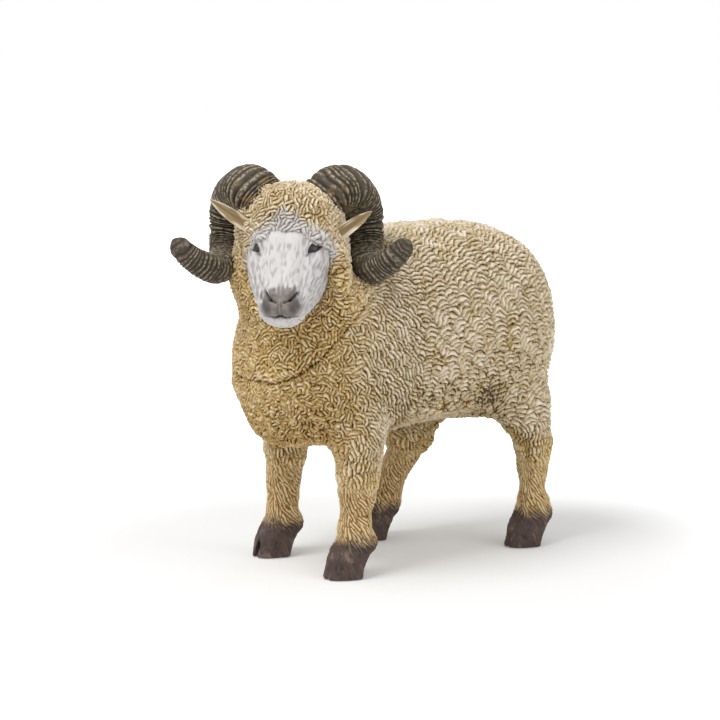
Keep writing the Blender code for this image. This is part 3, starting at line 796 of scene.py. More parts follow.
def fill_mesh(mesh, points, groups):
    """Gives an empty mesh its points and faces, in groups of faces with as many corners."""
    corners = np.concatenate([group.ravel() for group in groups]).astype(np.int32)
    counts = np.concatenate([np.full(len(g), g.shape[1]) for g in groups]).astype(np.int32)
    mesh.vertices.add(len(points))
    mesh.vertices.foreach_set("co", points.astype(np.float32).ravel())
    mesh.loops.add(len(corners))
    mesh.loops.foreach_set("vertex_index", corners)
    mesh.polygons.add(len(counts))
    mesh.polygons.foreach_set("loop_start", np.cumsum(counts) - counts)
    mesh.polygons.foreach_set("use_smooth", np.ones(len(counts), bool))
    mesh.update(calc_edges=True)
    mesh.validate()


def store(mesh, **values):
    """Keeps a number for each point on the mesh, for the paint to read."""
    for name, value in values.items():
        layer = mesh.attributes.new(name, "FLOAT", "POINT")
        layer.data.foreach_set("value", value.astype(np.float32))


# %% Body and head meshes
move_points(body_skin, carved)

# Ochre on the chest and low on the legs, little of it on the head, with cloudy edges.
seen = cloud(points, 7.0, 31)
ochre = 1 - ramp(points[:, 1] + 6 * (seen - 0.5), -22, -6)
ochre *= 1 - 0.75 * ramp(points[:, 2] + 6 * (seen - 0.5), 56, 66)
ochre = np.maximum(ochre, 1 - ramp(points[:, 2] + 4 * (seen - 0.5), 18, 27))

# The relief that the paint reads is crisper over the shoulder and under the belly. Painted shade:
# where wool faces down, in the flank's hollow and at the groin, the relief is lowered, so these
# places take the darker colours.
shadowed = 0.19 * ramp(-normals[:, 2], 0.0, 0.7) + 0.18 * hollow + 0.15 * groin
crisp = 1 + 0.18 * hump(points[:, 1], -6, 9) + 0.2 * ramp(-normals[:, 2], 0.0, 0.5)
paint_relief = np.clip(0.5 + crisp * (relief - 0.5) - shadowed - 0.5 * seam_line, 0, 1)

# White spray from the face reaches this far into the wool, furthest over the brow.
sprayed = (1.5 + 1.3 * ramp(above, -1.0, 4.0)) * (1 - 0.45 * ramp(aside, 3.5, 6.5))
white = 1 - ramp((outside + 1.4 * (cloud(points, 1.6, 32) - 0.5)) / sprayed, 0.3, 1.3)
white *= ramp(toward_face, -3.8 - 3.0 * (1 - ramp(above, -2.0, 2.0)), -1.2)
stored = {"relief": paint_relief * (1 - bare), "shade": shade, "ochre": ochre, "white": white}
front = from_seam > 0
sock = points[:, 2] > SOCK_END
torso_mesh = part_of(body_skin, ~front & sock, "torso", **stored)
head_mesh = part_of(body_skin, front, "head", **stored)
bpy.data.meshes.remove(body_skin)
print("torso", len(torso_mesh.polygons), "faces; head", len(head_mesh.polygons), "faces")

# %% [markdown]
# ## Finished pieces
#
# Every carved mesh becomes an object in metres that stands for its plain moulding and rides with
# it. A piece with more than 195 thousand triangles is thinned with Decimate, which takes triangles
# from the flats first and leaves the ridges crisp.

# %% Make a piece of a mesh
MOST_TRIANGLES = 195_000


def triangles_in(mesh):
    """A face with n corners makes n - 2 triangles."""
    return len(mesh.loops) - 2 * len(mesh.polygons)


def finished(name, mesh, node):
    """Shrinks a carved mesh to metres and puts it in its plain moulding's place."""
    piece = bpy.data.objects.new(name, mesh)
    bpy.context.scene.collection.objects.link(piece)
    count = triangles_in(mesh)
    if count > MOST_TRIANGLES:
        thin = piece.modifiers.new("thin", "DECIMATE")
        thin.ratio = MOST_TRIANGLES / count
        graph = bpy.context.evaluated_depsgraph_get()
        piece.data = bpy.data.meshes.new_from_object(piece.evaluated_get(graph))
        piece.modifiers.clear()
        bpy.data.meshes.remove(mesh)
    piece.data.transform(Matrix.Scale(MM, 4))
    piece.data.shade_smooth()
    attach(piece, "root")
    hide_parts(node)
    print(f"{name}: {count} triangles, now {triangles_in(piece.data)}")
    return piece


torso = finished("torso_fleece", torso_mesh, "torso")
head = finished("head_fleece", head_mesh, "head_and_neck")

# %% [markdown]
# ## The tail
#
# A short woolly tail hangs against the rump. The photograph doesn't show it, so it gets the plain
# wool of the flank, a little finer.

# %% Carve the tail
tail_skin = skinned(clay_of("tail"), block=0.9, rounds=5, levels=2)
points, normals = points_of(tail_skin), normals_of(tail_skin)
relief, lean, shade = locks(points, normals, fleece_rule, (2.6,), 71)
height = 0.35 + 0.6 * (relief - 0.45)
move_points(tail_skin, points + normals * height[:, None] + lean * (0.2 * relief)[:, None])
even = np.ones(len(points))
store(tail_skin, relief=relief, shade=shade, ochre=0.3 * even, white=0 * even)
tail = finished("tail_fleece", tail_skin, "tail")

# %% [markdown]
# ## Legs and hooves
#
# Short hair covers the legs below the wool. On the front of a leg it hangs straight down, and at the
# sides it sweeps back. It is carved like the wool, in patches of parallel ridges, but these patches
# are narrow and long and their ridges run the way that the hair lies. At the top the hair gives way
# to wool, and below it stops at the hoof, which has two toes, a bulge behind them and faint upright
# lines. The plain hoof's cleft is too sharp for a soft toy, so it is closed a little: the clay
# swells before the skin goes on, and the skin is drawn in again afterwards.

# %% Rules for the hair, and a leg's bare skin
HOOF_TOP = 4.4
PASTERN_TOP = 8.4
CLEFT_CLOSING = 0.20
HEEL_TRIM = 0.24


def hair_rule(places):
    """The numbers that describe the hair on a leg."""
    middle = places.mean(axis=0)
    aside = np.abs(places[:, 0] - middle[0]) / 3.5
    even = np.ones(len(places))
    return {
        "size": 3.0 * even,
        "long": 0.42 * even,
        "pitch": 0.62 * even,
        "bow": 0.12 * even,
        "turn": np.radians(90) * even,
        "wild": np.radians(13) * even,
        "pull": np.stack([0 * even, 0.15 + 0.75 * np.clip(aside, 0, 1), -even], axis=1),
    }


def leg_skin(node):
    """A leg's smooth skin, its points, and how far back on the hoof each point is, from 0 to 1."""
    clay = clay_of(node)
    swell(clay, CLEFT_CLOSING)
    skin = skinned(clay, block=0.36, rounds=8, levels=1)
    points = points_of(skin) - normals_of(skin) * CLEFT_CLOSING
    y, z = points[:, 1], points[:, 2]
    toe, heel = y[z < 3].min(), y[z < 3].max()
    back = ramp((y - toe) / (heel - toe), 0.35, 1.0) * (z < 14)
    points[:, 1] -= HEEL_TRIM * (heel - toe) * (1 - ramp(z, 0.5, 6.0)) * back
    move_points(skin, points)
    return skin, points, back


# %% Carve the legs
HAIR_END = 6.6
WOOL_END = 16.5


def carved_leg(node, seed):
    """One leg's mesh, with wool at its top, hair below it and a hoof."""
    skin, points, back = leg_skin(node)
    normals = normals_of(skin)
    x, y, z = points.T
    shear = 0.50 * ramp(np.abs(normals[:, 0]), 0.15, 0.8)
    flow = np.stack([x, y + shear * z, 0.15 * z], axis=1)
    hair = locks(points, normals, hair_rule, (2.2,), seed + 7)[0]
    wool = locks(points, normals, fleece_rule, (2.3,), seed)[0]
    woolly = ramp(z + 3 * (cloud(points, 1.6, seed + 2) - 0.5), WOOL_END - 1.6, WOOL_END + 1.6)
    haired = ramp(z + 1.5 * (cloud(points, 2.0, seed + 3) - 0.5), HOOF_TOP, HAIR_END)
    lines = cloud(flow, 0.40, seed + 4) - 0.5
    knobs = cloud(points, 2.4, seed + 5) - 0.5

    # Hair and wool with soft knobs under them. The top sinks into the body's wool.
    height = 0.50 * haired * (1 - woolly) * (hair - 0.5) + 0.60 * woolly * (wool - 0.35)
    height += (0.35 + 0.35 * haired) * knobs
    height -= 0.7 * ramp(z, 18.0, 20.0)

    # Upright lines on the hoof and a groove round its top, a bulge that is fullest at the heel, a
    # fuller front above the toes, and a slim shin. The sole stays flat.
    height += (1 - haired) * (0.13 * lines - 0.12 * hump(z, HOOF_TOP, 0.5))
    height += 0.55 * hump(z, 6.6, 1.7) * (0.35 + 0.65 * back)
    height += 0.75 * hump(z, 4.6, 1.8) * ramp(-normals[:, 1], 0.0, 0.8)
    height -= 0.25 * hump(z, 12.5, 2.2) + slimming(points, normals)
    height *= ramp(z, 0.0, 0.5)
    moved = points + normals * height[:, None]
    moved[:, 2] = np.maximum(moved[:, 2], 0)
    move_points(skin, moved)
    paint_relief = hair * (1 - woolly) + wool * woolly
    paint_relief = haired * paint_relief + (1 - haired) * np.clip(0.5 + 0.6 * lines + 0.5 * knobs, 0, 1)
    store(skin, relief=paint_relief, woolly=woolly)
    return finished(node + "_hair", skin, node)


legs = [carved_leg(node, 100 + 10 * k) for k, node in enumerate(leg_nodes)]

# %% [markdown]
# ## Horns
#
# A ram's horn is a cone that curls as it grows, with a rib for each spurt of growth. A sweep makes
# that directly: rings of points square to the path, each a little wider or narrower than the last.
# The section is round with three soft corners. The ribs are sharp grooves between round crests,
# a bit uneven, and fine scratches run across them.


# %% A tube of rings
def tube_mesh(name, rings, **values):
    """A closed mesh through rings of points, given as one array of rings, sides and three."""
    count, sides, _ = rings.shape
    number = np.arange(count * sides).reshape(count, sides)
    after = np.roll(number, -1, axis=1)
    walls = np.stack([number[:-1], after[:-1], after[1:], number[1:]], axis=-1).reshape(-1, 4)
    ends = np.array([rings[0].mean(axis=0), rings[-1].mean(axis=0)])
    points = np.vstack([rings.reshape(-1, 3), ends])
    first = np.column_stack([after[0], number[0], np.full(sides, len(points) - 2)])
    last = np.column_stack([number[-1], after[-1], np.full(sides, len(points) - 1)])
    mesh = bpy.data.meshes.new(name)
    fill_mesh(mesh, points, [walls, first, last])
    body = bmesh.new()
    body.from_mesh(mesh)
    bmesh.ops.recalc_face_normals(body, faces=body.faces)
    body.to_mesh(mesh)
    body.free()
    store(mesh, **{key: np.append(value.ravel(), [0.5, 0.5]) for key, value in values.items()})
    return mesh


def ring_axes(centres, start):
    """Directions across each ring of a tube, carried along the path without twisting."""
    along = unit(np.gradient(centres, axis=0))
    across = np.empty_like(centres)
    now = start
    for i, ahead in enumerate(along):
        now = now - ahead * now.dot(ahead)
        now = now / np.linalg.norm(now)
        across[i] = now
    return across, np.cross(along, across)


# %% Sweep the horns
HORN_RINGS = 620
HORN_SIDES = 80
HORN_RIBS = 52
RIB_DEPTH_SHARE = 0.16
CORNER_SHARE = 0.08
TIP_START = 0.955
TIP_LENGTH = 0.045


def horn(side, node):
    """One ribbed horn from its root in the wool to its blunt tip."""
    centres, halves = horn_path(side, HORN_RINGS)
    outward = np.array(level.to_3x3().col[0])
    start = np.cross(unit(centres[1] - centres[0]), outward)
    across, upward = ring_axes(centres, start)
    gone = np.linspace(0, 1, HORN_RINGS)[:, None]
    angle = np.linspace(0, 2 * np.pi, HORN_SIDES, endpoint=False)[None, :]
    round_off = np.sqrt(np.clip(1 - ((gone - TIP_START) / TIP_LENGTH).clip(0, 1) ** 2, 0.02, 1))
    shape = (HORN_RINGS, HORN_SIDES)
    places = [np.cos(angle) * 3, np.sin(angle) * 3, gone * 60]
    places = np.stack([np.broadcast_to(part, shape) for part in places], axis=-1).reshape(-1, 3)

    # Ribs wander a little round the horn, and stand closer and wider apart along it.
    drift = (cloud(places, 2.2, 300 + side).reshape(shape) - 0.5) * 0.75
    stretch = 0.6 * np.sin(gone * 23) + 0.4 * np.sin(gone * 51 + side)
    phase = gone * HORN_RIBS + drift + stretch
    crest = np.abs(np.sin(np.pi * phase)) ** 0.7
    power = 0.78 + 0.4 * block_number(np.stack([np.floor(phase).ravel()] * 3, axis=1), 9)
    crest = crest * power.reshape(shape).clip(0, 1)

    # Scratches run across the ribs, and the ribs fade towards the tip.
    scratch = cloud(places * [2.2, 2.2, 0.9], 0.5, 310).reshape(shape) - 0.5
    fade = 1 - 0.5 * ramp(gone, 0.80, 0.98)
    reach = halves[:, None] * (1 + CORNER_SHARE * np.cos(3 * angle)) * round_off
    reach = reach * (1 + RIB_DEPTH_SHARE * fade * (crest - 0.62) + 0.018 * scratch)
    rings = centres[:, None, :] + across[:, None, :] * (reach * np.cos(angle))[..., None]
    rings = rings + upward[:, None, :] * (reach * np.sin(angle))[..., None]
    relief = np.clip(crest + 0.25 * scratch, 0, 1)
    mesh = tube_mesh(node, rings, relief=relief, along=gone + 0 * angle)
    return finished(node + "_ribbed", mesh, node)


horns = [horn(1, "horn_left"), horn(-1, "horn_right")]

# %% [markdown]
# ## Ears
#
# Small ears stick out in front of the horns. An ear is a leaf folded along its length, so it is
# swept as a flat oval whose front is pushed in to make a hollow, with fine hair along it. The
# right ear sits a little higher in the photograph, and deeper in the wool.

# %% Sweep the ears
EAR_LENGTH = 12.8
EAR_WIDTH = 2.5
EAR_THICKNESS = 1.5
EAR_CURL = 0.35
EAR_CUP = 0.85
EAR_SHARES = [
    (0.00, 0.50, 0.90),
    (0.25, 0.80, 1.00),
    (0.50, 1.00, 0.90),
    (0.75, 0.80, 0.72),
    (0.92, 0.38, 0.50),
    (1.00, 0.06, 0.20),
]
EAR_ROOT = np.array([5.1, -4.2, -1.7])
EAR_AIM = np.array([0.80, 0.21, 0.56])
RIGHT_EAR_SHIFT = np.array([0, 1.6, 2.0])
RIGHT_EAR_TURN = np.array([0, -0.14, 0])


def ear(side, node):
    """One leaf-shaped ear."""
    flip = np.array([side, 1, 1])
    turn = np.array(level.to_3x3())
    other = 1 if side < 0 else 0
    root = out_of_frame(level, EAR_ROOT * flip + other * RIGHT_EAR_SHIFT)
    aim = unit(turn @ (EAR_AIM * flip + other * RIGHT_EAR_TURN))
    facing = turn @ np.array([0, -1.0, 0])
    wide = unit(np.cross(aim, facing))
    thick = np.cross(wide, aim)
    rows = smooth_rows(EAR_SHARES, 90)
    angle = np.linspace(0, 2 * np.pi, 64, endpoint=False)
    gone, half, thin = rows[:, :1], rows[:, 1:2], rows[:, 2:]
    sideways = half * EAR_WIDTH / 2 * np.cos(angle)
    outward = thin * EAR_THICKNESS / 2 * np.sin(angle)

    # The side that faces ahead is pushed in to a hollow, and both rims curl towards it.
    toward = np.sign(np.dot(thick, facing))
    hollow = np.clip(np.sin(angle) * toward, 0, 1) ** 0.7 * (1 - np.cos(angle) ** 2) ** 0.5
    cup = EAR_THICKNESS * EAR_CUP * hollow * np.clip(half - 0.25, 0, 1)
    curl = EAR_CURL * np.cos(angle) ** 2 * half
    places = np.stack([sideways * 3, outward * 3, gone * 6 + 0 * angle], axis=-1).reshape(-1, 3)
    strand = cloud(places, 0.9, 400 + side).reshape(sideways.shape)
    outward = outward + toward * (curl - cup) + 0.10 * (strand - 0.5)
    rings = (root + aim * gone * EAR_LENGTH)[:, None, :] + wide * sideways[..., None]
    rings = rings + thick * outward[..., None]
    # The relief is lowered in the hollow, so the paint lays painted shade there.
    relief = np.clip(0.25 + 0.75 * strand - 0.5 * hollow, 0, 1)
    mesh = tube_mesh(node, rings, relief=relief, hollow=hollow + 0 * half)
    return finished(node + "_leaf", mesh, node)


ears = [ear(1, "ear_left"), ear(-1, "ear_right")]

# %% [markdown]
# ## The face
#
# The face is the finest sculpting on the toy: a long nose with a flat bridge, brows over deep-set
# eyes, a soft grey muzzle with slanting nostrils, a split upper lip and a thin mouth. It is swept
# along its own axis from a table of sections, then modelled with small pushes in and out.
#
# Each push is laid out as seen from straight in front, in two distances from the point between
# the ears: aside, and down. A portrait sculptor works from the front view in the same way.

# %% Tools for modelling a face
FACE_RINGS = 230
FACE_SIDES = 300
CHIN_PINCH = 0.34
FRONT_DIP = HEAD_DIP + math.radians(8)


def stroke(aside, down, start, end, width):
    """1 on a line from start to end, fading to 0 at this many millimetres from it."""
    start, end = np.array(start, float), np.array(end, float)
    reach = end - start
    t = ((aside - start[0]) * reach[0] + (down - start[1]) * reach[1]) / reach.dot(reach)
    t = np.clip(t, 0, 1)
    away = np.hypot(aside - start[0] - t * reach[0], down - start[1] - t * reach[1])
    return hump(away, 0, width)


def spot(aside, down, middle, width, height):
    """1 at the middle of an oval spot, fading to 0 round it."""
    return np.exp(-(((aside - middle[0]) / width) ** 2) - ((down - middle[1]) / height) ** 2)


# %% Sweep the face and lay out its front view
rows = smooth_rows(FACE_SHARES, FACE_RINGS)
angle = np.linspace(0, 2 * np.pi, FACE_SIDES, endpoint=False)[None, :]
c, s = np.cos(angle), np.sin(angle)
boxy = np.where(s > 0, BOXY_ABOVE, BOXY_BELOW)
wide = np.sign(c) * np.abs(c) ** boxy * rows[:, 1:2] * FACE_WIDTH / 2
wide *= 1 - CHIN_PINCH * np.clip(-s, 0, 1) * ramp(rows[:, :1], 0.70, 0.96)
tall = np.sign(s) * np.abs(s) ** boxy * np.where(s > 0, rows[:, 2:3], rows[:, 3:]) * FACE_DEPTH / 2
rings = np.stack([wide, -rows[:, :1] * FACE_LENGTH + 0 * wide, tall], axis=-1)
face_mesh = tube_mesh("face", rings)

points = points_of(face_mesh)
normals = normals_of(face_mesh)
aside = points[:, 0]
down = -points[:, 1] * math.sin(FRONT_DIP) - points[:, 2] * math.cos(FRONT_DIP)
outward = -normals[:, 1] * math.cos(FRONT_DIP) + normals[:, 2] * math.sin(FRONT_DIP)
front = ramp(outward, -0.05, 0.35)
mirrored = np.abs(aside)
print("face", FACE_LENGTH, "mm long, with", len(points), "points")

# %% [markdown]
# Each eye looks out of an almond-shaped opening that slants up and outward. The opening is pressed
# in, with a rim for each lid, and a small ball sits behind it. A ball on its own would look like a
# bead pressed into dough.

# %% Eye openings
EYE_ASIDE = 6.1
EYE_SHIFT = -0.35
EYE_DOWN = 1.85
EYE_SLANT = math.radians(38)
EYE_HALF_LENGTH = 1.50
EYE_ABOVE, EYE_BELOW = 0.96, 0.82

from_eye = np.abs(aside - EYE_SHIFT) - EYE_ASIDE
slant_along = from_eye * math.cos(EYE_SLANT) - (down - EYE_DOWN) * math.sin(EYE_SLANT)
slant_across = from_eye * math.sin(EYE_SLANT) + (down - EYE_DOWN) * math.cos(EYE_SLANT)
bulge = 1 - (slant_along / EYE_HALF_LENGTH) ** 2
above_edge = slant_across + EYE_ABOVE * bulge
below_edge = EYE_BELOW * bulge - slant_across
opening = ramp(np.minimum(above_edge, below_edge), -0.05, 0.12) * front
near_eye = spot(from_eye, down, (0.0, EYE_DOWN), 2.1, 2.1) * front
upper_lid = hump(above_edge, -0.16, 0.20) * near_eye
lower_lid = hump(below_edge, -0.14, 0.20) * near_eye
print("eye openings cover", int((opening > 0.5).sum()), "points")

# %% [markdown]
# The rest of the face is a list of pushes. Each row gives a height in millimetres, outward if it is
# positive, then a spot or a stroke with its place. The same strokes are painted dark later, so that
# paint lies in the carved nostrils and mouth.

# %% Model the face
NOSTRIL = (3.2, 10.5), (1.9, 12.0)
NOSTRIL_END = (1.9, 12.0), (0.8, 12.6)
LIP_SPLIT = (0.34, 12.6), (0.30, 15.2)
MOUTH = (0.0, 15.2), (1.3, 15.6)
MOUTH_END = (1.3, 15.6), (3.3, 15.2)
PUSHES = [
    (0.60, spot, mirrored, (5.2, -0.6), 2.4, 1.0),  # brow
    (-0.60, spot, mirrored, (4.8, 2.4), 1.3, 1.5),  # eye socket
    (0.30, spot, mirrored, (5.8, 4.6), 2.4, 1.6),  # cheekbone
    (0.30, stroke, mirrored, (1.5, 0.5), (1.9, 8.0), 1.1),  # edge of the nose's bridge
    (-0.45, stroke, mirrored, (4.0, 5.0), (3.6, 9.5), 1.0),  # hollow beside the nose
    (0.60, stroke, mirrored, (2.9, 9.4), (1.4, 11.0), 0.55),  # wing over the nostril
    (-0.75, stroke, mirrored, *NOSTRIL, 0.34),
    (-0.45, stroke, mirrored, *NOSTRIL_END, 0.24),
    (-0.40, stroke, mirrored, (3.3, 10.6), (3.8, 12.2), 0.34),  # crease behind the nostril
    (0.30, spot, mirrored, (2.2, 13.2), 1.5, 1.4),  # pad of the upper lip
    (0.12, stroke, aside, (0.0, 12.4), (0.0, 15.2), 0.14),  # ridge in the lip's split
    (-0.22, stroke, mirrored, *LIP_SPLIT, 0.16),
    (-0.60, stroke, mirrored, *MOUTH, 0.20),
    (-0.60, stroke, mirrored, *MOUTH_END, 0.20),
    (0.25, spot, aside, (0.0, 16.5), 2.0, 0.6),  # chin
]

push = np.zeros(len(points))
for amount, shape, sides, *place in PUSHES:
    push += amount * shape(sides, down, *place)
push -= 1.1 * ramp(down, 14.8, 16.6) * ramp(mirrored, 0.8, 3.4)
fuzz_fine = cloud(points * [1.0, 0.18, 1.0], 0.30, 500) - 0.5
fuzz_broad = cloud(points * [1.0, 0.5, 1.0], 1.3, 501) - 0.5
blotch = cloud(points, 1.1, 502) - 0.5
streak = cloud(np.stack([aside * 2.0, down * 0.45, 0 * down], axis=1), 0.8, 503) - 0.5
muzzle = np.hypot(aside / 4.3, (down - 13.0) / 3.7) + 0.25 * blotch
muzzle = 1 - ramp(muzzle + 0.9 * streak * (1 - ramp(down, 10.8, 12.8)), 0.66, 1.14)
fuzz = (0.19 * fuzz_fine + 0.20 * fuzz_broad) * (1 - 0.5 * muzzle)
push = push * front * (1 - opening) + fuzz + 0.30 * upper_lid + 0.14 * lower_lid - 1.0 * opening
print("face pushed from", push.min().round(2), "to", push.max().round(2), "mm")

# %% Where the face's paint goes
LINES = [
    (0.80, *NOSTRIL, 0.42),
    (0.75, *NOSTRIL_END, 0.26),
    (0.55, (3.3, 10.8), (3.8, 12.2), 0.40),
    (1.00, *MOUTH, 0.24),
    (1.00, *MOUTH_END, 0.24),
    (0.50, *LIP_SPLIT, 0.16),
]

slit = np.max([dark * stroke(mirrored, down, *place) for dark, *place in LINES], axis=0)
lash = hump(above_edge, -0.02, 0.12) * near_eye
corner = stroke(from_eye, down, (-1.1, 3.0), (-1.6, 3.6), 0.35) * front
between_nostrils = stroke(aside, down, (0, 11), (0, 15), 0.5)
# Darker grey on each side of the upper lip, below the nostrils, and less between them.
sooty = spot(mirrored, down, (2.9, 13.2), 1.5, 1.9) * (1 - 0.6 * between_nostrils)
under_chin = -points[:, 2]
# Painted shade: the face's relief falls towards its sides, where the face turns from the light, and
# rim greys the face's edge under the wool and under the chin. The value round each eye is painted
# shade too, with a dark tear line below the inner corner.
store(
    face_mesh,
    relief=np.clip(0.66 + 0.9 * fuzz_fine + 0.2 * fuzz_broad - 0.25 * ramp(mirrored, 2, 8), 0, 1),
    muzzle=muzzle * (1 - ramp(down - 0.8 * ramp(mirrored, 1.8, 3.4), 15.3, 15.7)) * front,
    soot=np.clip(sooty + 0.4 * blotch, 0, 1),
    pit=np.clip(0.66 * near_eye + 0.6 * corner, 0, 1),
    slit=np.clip(np.maximum(slit * front, np.maximum(opening, 0.9 * lash)), 0, 1),
    rim=0.75 * (1 - ramp(-points[:, 1] - 2.2 - 4.5 * ramp(under_chin, 1, 7), 0.0, 2.2)),
)
print("points on the muzzle:", int((muzzle > 0.5).sum()))
print("points in the nostrils and mouth:", int((slit > 0.5).sum()))


# %% Eyeballs behind the openings
EYE_RADIUS = 1.60
EYE_SUNK = 0.22


def eyeball(side, name):
    """One painted eyeball, just behind its opening."""
    away = np.hypot(aside - EYE_SHIFT - side * EYE_ASIDE, down - EYE_DOWN) + 9 * (front < 0.5)
    seat = int(np.argmin(away))
    middle = points[seat] - normals[seat] * (EYE_RADIUS + EYE_SUNK)
    ball = bmesh.new()
    bmesh.ops.create_uvsphere(ball, u_segments=48, v_segments=32, radius=EYE_RADIUS)
    bmesh.ops.translate(ball, vec=face_frame @ Vector(middle), verts=ball.verts)
    mesh = bpy.data.meshes.new(name)
    ball.to_mesh(mesh)
    ball.free()
    return finished(name, mesh, "head_and_neck")


eyes = [eyeball(1, "eye_left"), eyeball(-1, "eye_right")]
move_points(face_mesh, points + normals * push[:, None])
face_mesh.transform(face_frame)
face = finished("face_painted", face_mesh, "head_and_neck")

# %% [markdown]
# ## Paint
#
# The toy is sprayed and brushed with matt acrylics. Acrylic paint has an index of refraction near
# 1.5 and dries matt, so its roughness is high: 0.78 where several dry coats lie on the wool, which
# looks chalky, and less where a thin coat lies on smoother plastic, which keeps a faint sheen.
# Three layers make the fleece: a cream coat, an ochre-brown wash that runs into the grooves, and a
# pale dry brush on the crests. The relief that carved the wool is stored on the mesh, and it drives
# these layers, so paint and carving agree. A little noise is mixed in first, because a brush never
# leaves a clean edge.

# %% Helpers for paint
ACRYLIC_IOR = 1.49
SOFTLY = {"interpolation_type": "SMOOTHSTEP"}


def colour(text):
    """A hex colour as it looks on a screen, turned into the light that Blender mixes."""
    parts = [int(text[i : i + 2], 16) / 255 for i in (1, 3, 5)]
    light = [p / 12.92 if p <= 0.04045 else ((p + 0.055) / 1.055) ** 2.4 for p in parts]
    return (*light, 1.0)


def add(tree, kind, settings=None, **links):
    """Adds one node. Settings are its properties, and links feed its inputs, by name, or by number
    where several inputs share a name."""
    node = tree.nodes.new("ShaderNode" + kind)
    for name, value in (settings or {}).items():
        setattr(node, name, value)
    for name, value in links.items():
        wanted = int(name[1:]) if name[0] == "_" else name.replace("_", " ")
        socket = node.inputs[wanted]
        if isinstance(value, bpy.types.NodeSocket):
            tree.links.new(value, socket)
        else:
            socket.default_value = value
    return node


def new_paint(name, roughness, *stored):
    """A new acrylic paint: the material, its tree, and the stored numbers that it reads."""
    made = bpy.data.materials.new(name)
    made.use_nodes = True
    tree = made.node_tree
    shader = tree.nodes["Principled BSDF"]
    shader.inputs["Roughness"].default_value = roughness
    shader.inputs["IOR"].default_value = ACRYLIC_IOR
    read = [add(tree, "Attribute", {"attribute_name": key}).outputs["Fac"] for key in stored]
    return made, tree, read


# %% [markdown]
# Four short functions then stand for what the painter does: mottle a paint, make its edges ragged,
# lay one colour over another, and drag a dry brush. Each is a few nodes that work together. The
# last function puts the finished coat on its pieces.
#
# Dried matt acrylic has a grain of about 0.05 mm. A pixel of the picture is 0.2 mm, so the grain is
# drawn four to six times as coarse, or it would not show at all.


# %% What the painter does
def grain(tree, size_mm, detail=3.0):
    """Noise in patches of about this many millimetres, fixed to the piece."""
    place = add(tree, "TexCoord").outputs["Object"]
    scale = 1 / (size_mm * MM)
    return add(tree, "TexNoise", None, Vector=place, Scale=scale, Detail=detail).outputs["Fac"]


def roughened(tree, relief, amount):
    """The carved relief with fine noise on it, so that paint edges are ragged."""
    noise = add(tree, "Math", {"operation": "SUBTRACT"}, _0=grain(tree, 0.40, 4.0), _1=0.5).outputs[0]
    mixed = add(tree, "Math", {"operation": "MULTIPLY_ADD"}, _0=noise, _1=2 * amount, _2=relief)
    return mixed.outputs[0]


def lay(tree, under, over, share, low=None, high=None):
    """Lays one colour over another. The share of the upper one is given, or climbs from low to
    high of a value. Colours are hex text or coats made before."""
    if low is not None:
        climb = add(tree, "MapRange", SOFTLY, Value=share, From_Min=low, From_Max=high)
        share = climb.outputs["Result"]
    under, over = (colour(c) if isinstance(c, str) else c for c in (under, over))
    return add(tree, "Mix", {"data_type": "RGBA"}, _0=share, _6=under, _7=over).outputs[2]


def dragged(tree, *climbs):
    """Where a dragged brush leaves paint: each value here has climbed from its low to its high."""
    share = 1.0
    for value, low, high in climbs:
        climb = add(tree, "MapRange", SOFTLY, Value=value, From_Min=low, From_Max=high)
        both = add(tree, "Math", {"operation": "MULTIPLY"}, _0=share, _1=climb.outputs["Result"])
        share = both.outputs[0]
    return share


def put_on(pieces, made, coat, size_mm=None, detail=4.0, depth_mm=0.05, strength=0.8):
    """Colours a paint with its coat, gives it a grain of this size, and puts it on the pieces."""
    tree = made.node_tree
    shader = tree.nodes["Principled BSDF"]
    tree.links.new(coat, shader.inputs["Base Color"])
    if size_mm:
        rough = grain(tree, size_mm, detail)
        bump = add(tree, "Bump", None, Height=rough, Distance=depth_mm * MM, Strength=strength)
        tree.links.new(bump.outputs["Normal"], shader.inputs["Normal"])
    for piece in pieces:
        piece.data.materials.clear()
        piece.data.materials.append(made)
    print(f"{made.name}, {len(tree.nodes)} nodes:", ", ".join(piece.name for piece in pieces))


# %% [markdown]
# The fleece paint. Its ground is an ochre tan, which the spray laid on heavier on the chest. A brown
# wash runs into the grooves, and cream lies on everything that stands up. The dry brush catches
# only the crests, and it skips, because a nearly dry brush leaves gaps. On the bonnet, sprayed
# white from the face reaches over the cream, and stays greyer in the grooves. The spray drifts in
# patches of 5 mm, and the bristles skip every half a millimetre.

# %% Paint for wool: acrylic, sprayed, washed and dry-brushed
# The stored relief already holds painted shade where wool faces down or lies in a hollow, so the
# darker colours take over there.
fleece, tree, (relief, ochre, shade, white) = new_paint(
    "acrylic_on_wool", 0.78, "relief", "ochre", "shade", "white"
)
relief = roughened(tree, relief, 0.54)
slope = lay(tree, "#D1BB90", "#C8A35F", ochre)
slope = lay(tree, slope, "#BB9C5A", grain(tree, 5.0), 0.48, 0.72)
wash = lay(tree, "#463118", "#472B07", ochre)
coat = lay(tree, wash, slope, relief, 0.06, 0.44)
cream = lay(tree, "#EDDEC7", "#E6C98E", ochre)
cream = lay(tree, cream, "#F0E4D2", shade, -1.0, 2.0)
coat = lay(tree, coat, cream, relief, 0.44, 0.80)
pale = lay(tree, "#FBF2E5", "#F6E3B6", ochre)
brushed = dragged(tree, (grain(tree, 0.5), 0.35, 0.62), (relief, 0.58, 0.86))
coat = lay(tree, coat, pale, brushed)
chalk = lay(tree, "#857A74", "#DDD8D3", relief, 0.0, 0.6)
coat = lay(tree, coat, chalk, white)
put_on((torso, head, tail), fleece, coat, 0.22, depth_mm=0.06)

# %% [markdown]
# The legs are a warmer tan with brown between the hairs, and a dark brown spray covers the hooves
# and fades out above them. Its edge is uneven, as a spray without a mask leaves it, so the height
# that it reaches is the point's own height plus a little noise. One coat on smooth hair keeps a
# little more sheen than the wool.

